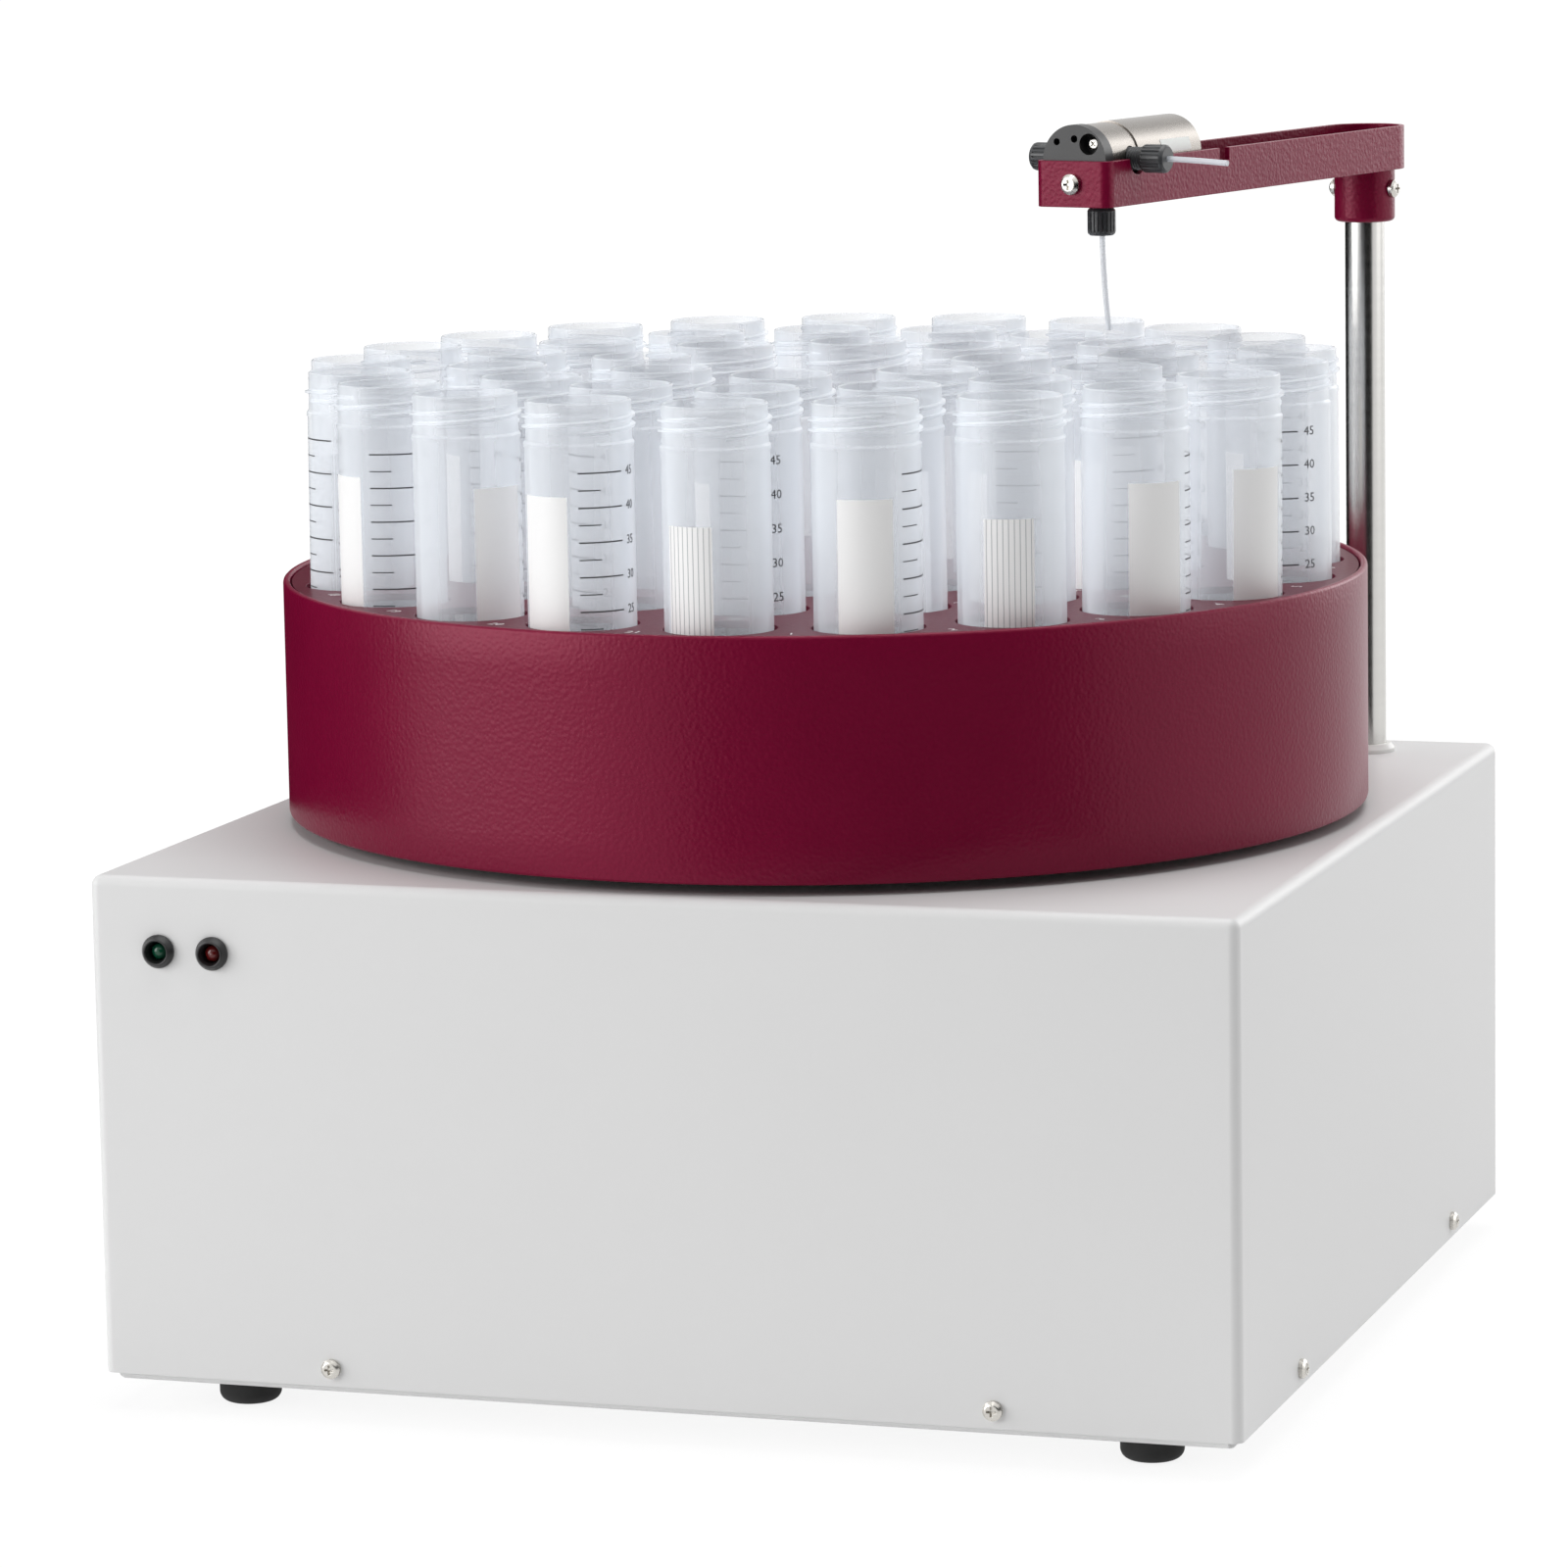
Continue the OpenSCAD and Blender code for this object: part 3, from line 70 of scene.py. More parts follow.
@dataclass(frozen=True)
class Finish:
    """One surface finish, with its colour, gloss and fine texture."""

    name: str
    slot: str
    colour: Colour
    roughness: float = 0.5
    metallic: float = 0.0
    specular: float = 0.5
    grain: Grain = Grain.CLOUDED
    size: float = 0.0008
    depth: float = 0.00003
    strength: float = 0.3
    spread: float = 0.05
    stretch: Point = (1.0, 1.0, 1.0)
    alpha: tuple[float, float] = (1.0, 1.0)

    def material(self) -> bpy.types.Material:
        """Build the finish's node material, or fetch it if it was built before.

        Returns:
            The material.
        """
        known = bpy.data.materials.get(self.name)
        if known:
            return known
        mat = bpy.data.materials.new(self.name)
        mat.use_nodes = True
        nodes, links = mat.node_tree.nodes, mat.node_tree.links
        shader = nodes["Principled BSDF"]
        shader.inputs["Metallic"].default_value = self.metallic
        shader.inputs["Specular IOR Level"].default_value = self.specular
        coords = nodes.new("ShaderNodeTexCoord")
        mapping = nodes.new("ShaderNodeMapping")
        mapping.inputs["Scale"].default_value = self.stretch
        links.new(coords.outputs["Object"], mapping.inputs["Vector"])
        fine = self._noise(mat, mapping, 1.0 / self.size, 3.0)
        broad = self._noise(mat, mapping, BROAD_CELLS, 2.0)
        tint = nodes.new("ShaderNodeMix")
        tint.data_type = "RGBA"
        for end, share in (("A", 1 - self.spread), ("B", 1 + self.spread)):
            tint.inputs[end].default_value = (*(min(1.0, c * share) for c in self.colour), 1)
        blend = nodes.new("ShaderNodeMath")
        blend.operation = "MULTIPLY_ADD"
        blend.inputs[1].default_value = 0.5
        links.new(fine.outputs[0], blend.inputs[0])
        half = nodes.new("ShaderNodeMath")
        half.operation = "MULTIPLY"
        half.inputs[1].default_value = 0.5
        links.new(broad.outputs[0], half.inputs[0])
        links.new(half.outputs[0], blend.inputs[2])
        links.new(blend.outputs[0], tint.inputs["Factor"])
        links.new(tint.outputs["Result"], shader.inputs["Base Color"])
        gloss = nodes.new("ShaderNodeMapRange")
        gloss.inputs["To Min"].default_value = max(0.02, self.roughness - GLOSS_SWING)
        gloss.inputs["To Max"].default_value = min(1.0, self.roughness + GLOSS_SWING)
        links.new(blend.outputs[0], gloss.inputs["Value"])
        links.new(gloss.outputs["Result"], shader.inputs["Roughness"])
        bump = nodes.new("ShaderNodeBump")
        bump.inputs["Strength"].default_value = self.strength
        bump.inputs["Distance"].default_value = self.depth
        relief = self._pebbles(mat, mapping) if self.grain is Grain.PEBBLED else fine.outputs[0]
        links.new(relief, bump.inputs["Height"])
        links.new(bump.outputs["Normal"], shader.inputs["Normal"])
        if self.alpha[1] < 1.0:
            self._clear(mat, shader)
        return mat

    def _noise(self, mat: bpy.types.Material, source: bpy.types.Node, scale: float,
               detail: float) -> bpy.types.Node:
        """Add a noise texture that follows the mapping.

        Args:
            mat: The material.
            source: The mapping node.
            scale: Cells per metre.
            detail: Octaves.

        Returns:
            The noise node.
        """
        noise = mat.node_tree.nodes.new("ShaderNodeTexNoise")
        noise.inputs["Scale"].default_value = scale
        noise.inputs["Detail"].default_value = detail
        mat.node_tree.links.new(source.outputs["Vector"], noise.inputs["Vector"])
        return noise

    def _pebbles(self, mat: bpy.types.Material, source: bpy.types.Node) -> bpy.types.NodeSocket:
        """Add the rounded pebbles of a textured powder coat.

        Args:
            mat: The material.
            source: The mapping node.

        Returns:
            The socket that holds their height.
        """
        cells = mat.node_tree.nodes.new("ShaderNodeTexVoronoi")
        cells.feature = "SMOOTH_F1"
        cells.inputs["Scale"].default_value = 1.0 / self.size
        mat.node_tree.links.new(source.outputs["Vector"], cells.inputs["Vector"])
        return cells.outputs["Distance"]

    def _clear(self, mat: bpy.types.Material, shader: bpy.types.Node) -> None:
        """Make the finish see-through face on and milky at a grazing angle.

        Args:
            mat: The material.
            shader: Its surface shader.
        """
        nodes, links = mat.node_tree.nodes, mat.node_tree.links
        facing = nodes.new("ShaderNodeLayerWeight")
        facing.inputs["Blend"].default_value = VEIL_BLEND
        veil = nodes.new("ShaderNodeMapRange")
        veil.inputs["To Min"].default_value = self.alpha[0]
        veil.inputs["To Max"].default_value = self.alpha[1]
        links.new(facing.outputs["Facing"], veil.inputs["Value"])
        links.new(veil.outputs["Result"], shader.inputs["Alpha"])


POWDER_WHITE = Finish("powder_white", "grey_paint", (0.74, 0.74, 0.74), 0.42, grain=Grain.PEBBLED,
                      size=0.0012, depth=0.00003, strength=0.12, spread=0.012, specular=0.3)
POWDER_CRIMSON = Finish("powder_crimson", "maroon_paint", (0.172, 0.0006, 0.026), 0.32, 0.12,
                        grain=Grain.PEBBLED, size=0.0011, depth=0.00014, strength=0.65,
                        spread=0.16, specular=0.20)
PLATE_CRIMSON = Finish("plate_crimson", "maroon_paint", (0.085, 0.004, 0.016), 0.36,
                       grain=Grain.PEBBLED, size=0.0011, depth=0.00006, strength=0.35,
                       spread=0.10, specular=0.1)
GROUND_STEEL = Finish("ground_steel", "bright_steel", (0.60, 0.59, 0.57), 0.24, 1.0,
                      size=0.002, depth=0.00001, strength=0.25, spread=0.08,
                      stretch=(1.0, 1.0, 18.0))
SHEET_STEEL = Finish("plated_sheet", "bare_steel", (0.55, 0.55, 0.54), 0.34, 1.0, size=0.003,
                     depth=0.00002, strength=0.15, spread=0.10)
SCREW_STEEL = Finish("screw_steel", "zinc_steel", (0.62, 0.60, 0.56), 0.28, 1.0, size=0.0006,
                     depth=0.00002, strength=0.2, spread=0.12)
NICKEL = Finish("satin_nickel", "nickel", (0.28, 0.26, 0.24), 0.27, 1.0, size=0.0015,
                depth=0.00001, strength=0.2, spread=0.08, stretch=(6.0, 1.0, 6.0))
ALUMINIUM = Finish("machined_aluminium", "raw_aluminium", (0.66, 0.67, 0.68), 0.33, 1.0,
                   size=0.0012, depth=0.00001, strength=0.2, spread=0.06)
BRASS = Finish("cut_brass", "brass", (0.62, 0.44, 0.16), 0.3, 1.0, size=0.001, depth=0.00001,
               spread=0.10)
COPPER = Finish("wound_copper", "copper_wire", (0.45, 0.17, 0.06), 0.4, 0.6, size=0.0005,
                depth=0.00008, strength=0.5, spread=0.2, stretch=(4.0, 1.0, 4.0))
BLACK = Finish("moulded_black", "black_plastic", (0.012, 0.012, 0.013), 0.38, size=0.0005,
               strength=0.2, spread=0.25)
GLOSS_BLACK = Finish("polished_black", "gloss_black", (0.012, 0.012, 0.012), 0.16, size=0.002,
                     strength=0.05, spread=0.15)
CHARCOAL = Finish("moulded_charcoal", "dark_plastic", (0.040, 0.042, 0.045), 0.36, size=0.0005,
                  strength=0.2, spread=0.15)
WHITE_RESIN = Finish("white_resin", "white_plastic", (0.80, 0.80, 0.78), 0.35, size=0.0008,
                     strength=0.08, spread=0.02)
IVORY_RESIN = Finish("ivory_resin", "ivory_plastic", (0.66, 0.62, 0.50), 0.42, size=0.0008,
                     strength=0.12, spread=0.05)
RUBBER = Finish("foot_rubber", "foot_rubber", (0.010, 0.010, 0.010), 0.62, size=0.0006,
                strength=0.3, spread=0.3)
GREEN_LAMP = Finish("green_lamp", "green_lens", (0.004, 0.060, 0.030), 0.12, size=0.001,
                    strength=0.04, spread=0.2)
RED_LAMP = Finish("red_lamp", "red_lens", (0.10, 0.006, 0.006), 0.12, size=0.001, strength=0.04,
                  spread=0.2)
ENAMEL = Finish("motor_enamel", "dark_enamel", (0.02, 0.02, 0.022), 0.4, size=0.001, spread=0.2)
SLEEVE = Finish("wire_sleeve", "wire_sleeve", (0.02, 0.02, 0.022), 0.4, size=0.001, spread=0.2)
BOARD = Finish("board_green", "board_green", (0.012, 0.12, 0.045), 0.3, size=0.002, spread=0.3)
TUBE_WALL = Finish("clear_tube_wall", "tube_plastic", (0.80, 0.83, 0.87), 0.18, size=0.004,
                   depth=0.00003, strength=0.06, spread=0.01, alpha=(0.22, 0.75))
TUBING = Finish("clear_tubing", "clear_tubing", (0.72, 0.80, 0.90), 0.14, size=0.004,
                strength=0.05, spread=0.02, alpha=(0.45, 0.95))
INK = Finish("grey_ink", "tube_plastic", (0.06, 0.06, 0.065), 0.6, size=0.0004, strength=0.1,
             spread=0.25)
PALE_INK = Finish("pale_ink", "tube_plastic", (0.50, 0.51, 0.53), 0.6, size=0.0004, strength=0.1,
                  spread=0.05)
WHITE_INK = Finish("white_ink", "tube_plastic", (0.88, 0.88, 0.88), 0.55, size=0.0006,
                   strength=0.1, spread=0.02)
PLATE_INK = Finish("plate_number_ink", "maroon_paint", (0.62, 0.60, 0.60), 0.5, size=0.0005,
                   strength=0.1, spread=0.04)
LABEL = Finish("bare_label", "nickel", (0.78, 0.80, 0.78), 0.5, size=0.001, strength=0.1,
               spread=0.02)

NODE_FINISH: dict[str, Finish] = {
    "foot_screws": SCREW_STEEL, "drive_plate": SHEET_STEEL, "drive_pillars": SHEET_STEEL,
    "bearing_housing": ALUMINIUM, "bearing_outer_rings": GROUND_STEEL,
    "bearing_inner_rings": GROUND_STEEL, "spindle": GROUND_STEEL, "spindle_gear": IVORY_RESIN,
    "spindle_circlip": SHEET_STEEL, "carousel_motor": ENAMEL, "carousel_pinion": BRASS,
    "carousel_motor_shaft": GROUND_STEEL, "motor_screws": SCREW_STEEL, "arm_motor": ENAMEL,
    "arm_pinion": BRASS, "arm_motor_shaft": GROUND_STEEL, "post_block": ALUMINIUM,
    "lower_bush": WHITE_RESIN, "post_collar": GROUND_STEEL, "sector_gear": IVORY_RESIN,
    "turntable": ALUMINIUM, "plate_spacers": SHEET_STEEL, "lower_plate": ALUMINIUM,
    "turntable_screws": SCREW_STEEL, "solenoid_coil": COPPER, "valve_plunger": GROUND_STEEL,
    "valve_wires": SLEEVE, "circuit_boards": BOARD,
}


def quads(rows: int, sides: int, closed: bool) -> list[tuple[int, ...]]:
    """Join rows of corners with faces, each row going once round.

    Args:
        rows: Number of rows.
        sides: Corners in a row.
        closed: Whether the last row joins the first.

    Returns:
        The faces.
    """
    return [(i * sides + k, i * sides + (k + 1) % sides,
             (i + 1) % rows * sides + (k + 1) % sides, (i + 1) % rows * sides + k)
            for i in range(rows if closed else rows - 1) for k in range(sides)]


@dataclass
class Shape:
    """A growing list of corners and faces for one piece."""

    points: list[Vector] = field(default_factory=list)
    faces: list[tuple[int, ...]] = field(default_factory=list)

    def add(self, points: list[Vector], faces: list[tuple[int, ...]]) -> None:
        """Add one closed form.

        Args:
            points: Its corners.
            faces: Its faces, counted from its own first corner.
        """
        start = len(self.points)
        self.points += [Vector(p) for p in points]
        self.faces += [tuple(start + k for k in f) for f in faces]

    def lathe(self, profile: list[tuple[float, float]], sides: int = 48) -> None:
        """Turn a profile about Z; a profile that leaves the axis is a closed loop.

        Args:
            profile: Radius and height of each point, in metres.
            sides: Steps round the axis.
        """
        on_axis = profile[0][0] == 0.0
        rings = [p for p in profile if p[0] > 0.0]
        points = [Vector((r * math.cos(a), r * math.sin(a), z)) for r, z in rings
                  for a in (math.tau * k / sides for k in range(sides))]
        faces = quads(len(rings), sides, not on_axis)
        if on_axis:
            low, high = len(points), len(points) + 1
            points += [Vector((0, 0, profile[0][1])), Vector((0, 0, profile[-1][1]))]
            last = (len(rings) - 1) * sides
            for k in range(sides):
                m = (k + 1) % sides
                faces += [(low, m, k), (high, last + k, last + m)]
        self.add(points, faces)

    def wrap(self, radius: float, thick: float, angles: tuple[float, float],
             heights: tuple[float, float], steps: int = 10) -> None:
        """Add a thin skin that lies round a cylinder about Z.

        Args:
            radius: The cylinder's radius.
            thick: The skin's thickness.
            angles: First and last angle, in radians.
            heights: Lower and upper edge.
            steps: Steps round the cylinder.
        """
        points = []
        for k in range(steps + 1):
            a = angles[0] + (angles[1] - angles[0]) * k / steps
            for r in (radius, radius + thick):
                for z in heights:
                    points.append(Vector((r * math.cos(a), r * math.sin(a), z)))
        faces = []
        for k in range(steps):
            p, q = 4 * k, 4 * k + 4
            faces += [(p + 2, q + 2, q + 3, p + 3), (p, p + 1, q + 1, q),
                      (p + 1, p + 3, q + 3, q + 1), (p, q, q + 2, p + 2)]
        last = 4 * steps
        faces += [(0, 2, 3, 1), (last, last + 1, last + 3, last + 2)]
        self.add(points, faces)

    def sweep(self, path: list[Vector], radius: float, sides: int = 16) -> None:
        """Run a closed round bar along a path.

        Args:
            path: Points along it.
            radius: Its radius.
            sides: Steps round it.
        """
        points, last, side = [], len(path) - 1, None
        for i, p in enumerate(path):
            ahead = (path[min(i + 1, last)] - path[max(i - 1, 0)]).normalized()
            if side is None:
                side = ahead.orthogonal().normalized()
            side = (side - ahead * side.dot(ahead)).normalized()
            other = ahead.cross(side)
            points += [p + radius * (math.cos(a) * side + math.sin(a) * other)
                       for a in (math.tau * k / sides for k in range(sides))]
        faces = quads(len(path), sides, False)
        faces += [tuple(reversed(range(sides))), tuple(last * sides + k for k in range(sides))]
        self.add(points, faces)

    def helix(self, radius: float, height: float, rise: float, turns: float, width: float,
              top: float, start: float) -> None:
        """Add a thread ridge that fades in and out.

        Args:
            radius: Radius of the neck it lies on.
            height: How far it stands out.
            rise: Drop for each turn.
            turns: Number of turns.
            width: Its width.
            top: Height of its upper end.
            start: Angle of its upper end.
        """
        steps = int(40 * turns)
        points, faces = [], []
        for i in range(steps + 1):
            t = i / steps
            fade = min(1.0, 9.0 * t, 9.0 * (1 - t))
            a, z = start - math.tau * turns * t, top - rise * turns * t
            for dr, dz in ((-0.3 * MM, -0.5 * width), (height * fade, -0.2 * width),
                           (height * fade, 0.2 * width), (-0.3 * MM, 0.5 * width)):
                points.append(Vector(((radius + dr) * math.cos(a), (radius + dr) * math.sin(a),
                                      z + dz)))
        for i in range(steps):
            p, q = 4 * i, 4 * i + 4
            faces += [(p + k, q + k, q + (k + 1) % 4, p + (k + 1) % 4) for k in range(4)]
        faces += [(0, 1, 2, 3), (4 * steps + 3, 4 * steps + 2, 4 * steps + 1, 4 * steps)]
        self.add(points, faces)

    def lettering(self, text: str, size: float, place: Matrix, bend: float = 0.0) -> None:
        """Add a number as a thin raised print.

        Args:
            text: The digits.
            size: Height of the type body.
            place: Where the middle of the number goes.
            bend: Radius of the cylinder about Z that it wraps, or 0 for a flat print.
        """
        curve = bpy.data.curves.new("digits", "FONT")
        curve.body, curve.size, curve.extrude = text, size, 0.03 * MM
        curve.align_x, curve.align_y, curve.resolution_u = "CENTER", "CENTER", 2
        obj = bpy.data.objects.new("digits", curve)
        bpy.context.scene.collection.objects.link(obj)
        mesh = bpy.data.meshes.new_from_object(
            obj.evaluated_get(bpy.context.evaluated_depsgraph_get()))
        points = []
        for v in mesh.vertices:
            if bend:
                a, r = v.co.x / bend, bend + v.co.z
                points.append(place @ Vector((r * math.cos(a), r * math.sin(a), v.co.y)))
            else:
                points.append(place @ v.co)
        self.add(points, [tuple(p.vertices) for p in mesh.polygons])
        bpy.data.objects.remove(obj)
        bpy.data.curves.remove(curve)
        bpy.data.meshes.remove(mesh)

    def place(self, matrix: Matrix) -> "Shape":
        """Move every corner.

        Args:
            matrix: The move.

        Returns:
            The shape itself.
        """
        self.points = [matrix @ p for p in self.points]
        return self

    def build(self, name: str, finish: Finish, smooth_deg: float = 35.0) -> bpy.types.Object:
        """Turn the shape into an object at the origin.

        Args:
            name: The piece's name.
            finish: Its finish.
            smooth_deg: Edges flatter than this are shaded smooth.

        Returns:
            The object.
        """
        mesh = bpy.data.meshes.new(name)
        mesh.from_pydata([tuple(p) for p in self.points], [], self.faces)
        work = bmesh.new()
        work.from_mesh(mesh)
        bmesh.ops.remove_doubles(work, verts=work.verts, dist=1e-7)
        bmesh.ops.recalc_face_normals(work, faces=work.faces)
        work.to_mesh(mesh)
        work.free()
        return dressed(mesh, name, finish, smooth_deg)


def dressed(mesh: bpy.types.Mesh, name: str, finish: Finish,
            smooth_deg: float) -> bpy.types.Object:
    """Link a mesh as an object with its finish and shading.

    Args:
        mesh: The mesh.
        name: The piece's name.
        finish: Its finish.
        smooth_deg: Edges flatter than this are shaded smooth.

    Returns:
        The object.
    """
    mesh.materials.clear()
    mesh.materials.append(finish.material())
    mesh.shade_smooth()
    mesh.set_sharp_from_angle(angle=math.radians(smooth_deg))
    obj = bpy.data.objects.new(name, mesh)
    bpy.context.scene.collection.objects.link(obj)
    return obj


def attach(obj: bpy.types.Object, body: str, finish: Finish, *nodes: str) -> bpy.types.Object:
    """Fix a piece to its body and hide the mechanical nodes that it replaces.

    Args:
        obj: The piece.
        body: The body that it moves with.
        finish: Not used.
        *nodes: The mechanical nodes that it replaces.

    Returns:
        The piece.
    """
    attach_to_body(obj, body)
    if nodes:
        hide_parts(*nodes)
    LOG.info("%s rides on %s, %d faces", obj.name, body, len(obj.data.polygons))
    return obj


def refined(node: str, name: str, finish: Finish, bevel: float = 0.0,
            segments: int = 2) -> bpy.types.Object:
    """Copy a mechanical node as one smooth skin with softened edges.

    Args:
        node: The node.
        name: The new piece's name.
        finish: Its finish.
        bevel: Width of the softened edges, in metres, or 0 for none.
        segments: Steps across a softened edge.

    Returns:
        The new piece, not yet attached.
    """
    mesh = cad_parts[node].data.copy()
    mesh.name = name
    work = bmesh.new()
    work.from_mesh(mesh)
    bmesh.ops.remove_doubles(work, verts=work.verts, dist=MERGE)
    bmesh.ops.dissolve_limit(work, angle_limit=math.radians(FLAT_DEG), verts=work.verts,
                             edges=work.edges)
    work.to_mesh(mesh)
    work.free()
    obj = dressed(mesh, name, finish, SHARP_DEG)
    if bevel:
        mod = obj.modifiers.new("edge", "BEVEL")
        mod.width, mod.segments, mod.limit_method = bevel, segments, "ANGLE"
        mod.angle_limit = math.radians(BEVEL_DEG)
    even = obj.modifiers.new("even", "WEIGHTED_NORMAL")
    even.keep_sharp = True
    applied = bpy.data.meshes.new_from_object(
        obj.evaluated_get(bpy.context.evaluated_depsgraph_get()))
    obj.modifiers.clear()
    obj.data = applied
    applied.name = name
    return obj


@dataclass
class Repeater:
    """A Geometry Nodes tree that sets one piece on each point, turned as the point says."""

    name: str = "repeat_piece"

    def tree(self) -> tuple[bpy.types.NodeTree, dict[str, str]]:
        """Build the tree.

        Returns:
            The tree, and the identifier of each named input.
        """
        tree = bpy.data.node_groups.new(self.name, "GeometryNodeTree")
        face = tree.interface
        face.new_socket("Geometry", in_out="INPUT", socket_type="NodeSocketGeometry")
        keys = {}
        for label, kind in (("Piece", "Object"), ("Finish", "Material"), ("Size", "Float")):
            socket = face.new_socket(label, in_out="INPUT", socket_type="NodeSocket" + kind)
            keys[label] = socket.identifier
        face.new_socket("Geometry", in_out="OUTPUT", socket_type="NodeSocketGeometry")
        add, link = tree.nodes.new, tree.links.new
        start, end = add("NodeGroupInput"), add("NodeGroupOutput")
        info = add("GeometryNodeObjectInfo")
        turn = add("GeometryNodeInputNamedAttribute")
        turn.data_type = "FLOAT_VECTOR"
        turn.inputs["Name"].default_value = "turn"
        euler = add("FunctionNodeEulerToRotation")
        copies = add("GeometryNodeInstanceOnPoints")
        real = add("GeometryNodeRealizeInstances")
        paint = add("GeometryNodeSetMaterial")
        link(start.outputs["Piece"], info.inputs["Object"])
        link(start.outputs["Geometry"], copies.inputs["Points"])
        link(info.outputs["Geometry"], copies.inputs["Instance"])
        link(turn.outputs["Attribute"], euler.inputs["Euler"])
        link(euler.outputs["Rotation"], copies.inputs["Rotation"])
        link(start.outputs["Size"], copies.inputs["Scale"])
        link(copies.outputs["Instances"], real.inputs["Geometry"])
        link(real.outputs["Geometry"], paint.inputs["Geometry"])
        link(start.outputs["Finish"], paint.inputs["Material"])
        link(paint.outputs["Geometry"], end.inputs["Geometry"])
        return tree, keys

    def spread(self, name: str, template: bpy.types.Object, places: list[tuple[Point, Point]],
               finish: Finish, size: float = 1.0) -> bpy.types.Object:
        """Set a copy of the template on each place and bake them into one mesh.

        Args:
            name: The new piece's name.
            template: The piece to repeat, standing at the origin.
            places: Position and turn (radians about X, Y and Z) of each copy.
            finish: The copies' finish.
            size: Scale of the copies.

        Returns:
            The new piece, not yet attached.
        """
        cloud = bpy.data.meshes.new(name + "_places")
        cloud.from_pydata([p for p, _ in places], [], [])
        turns = cloud.attributes.new("turn", "FLOAT_VECTOR", "POINT")
        for k, (_, turn) in enumerate(places):
            turns.data[k].vector = turn
        carrier = bpy.data.objects.new(name + "_places", cloud)
        bpy.context.scene.collection.objects.link(carrier)
        tree, keys = self.tree()
        mod = carrier.modifiers.new("copies", "NODES")
        mod.node_group = tree
        mod[keys["Piece"]] = template
        mod[keys["Finish"]] = finish.material()
        mod[keys["Size"]] = size
        mesh = bpy.data.meshes.new_from_object(
            carrier.evaluated_get(bpy.context.evaluated_depsgraph_get()))
        carrier.modifiers.clear()
        bpy.data.objects.remove(carrier)
        bpy.data.node_groups.remove(tree)
        mesh.name = name
        return dressed(mesh, name, finish, 35.0)


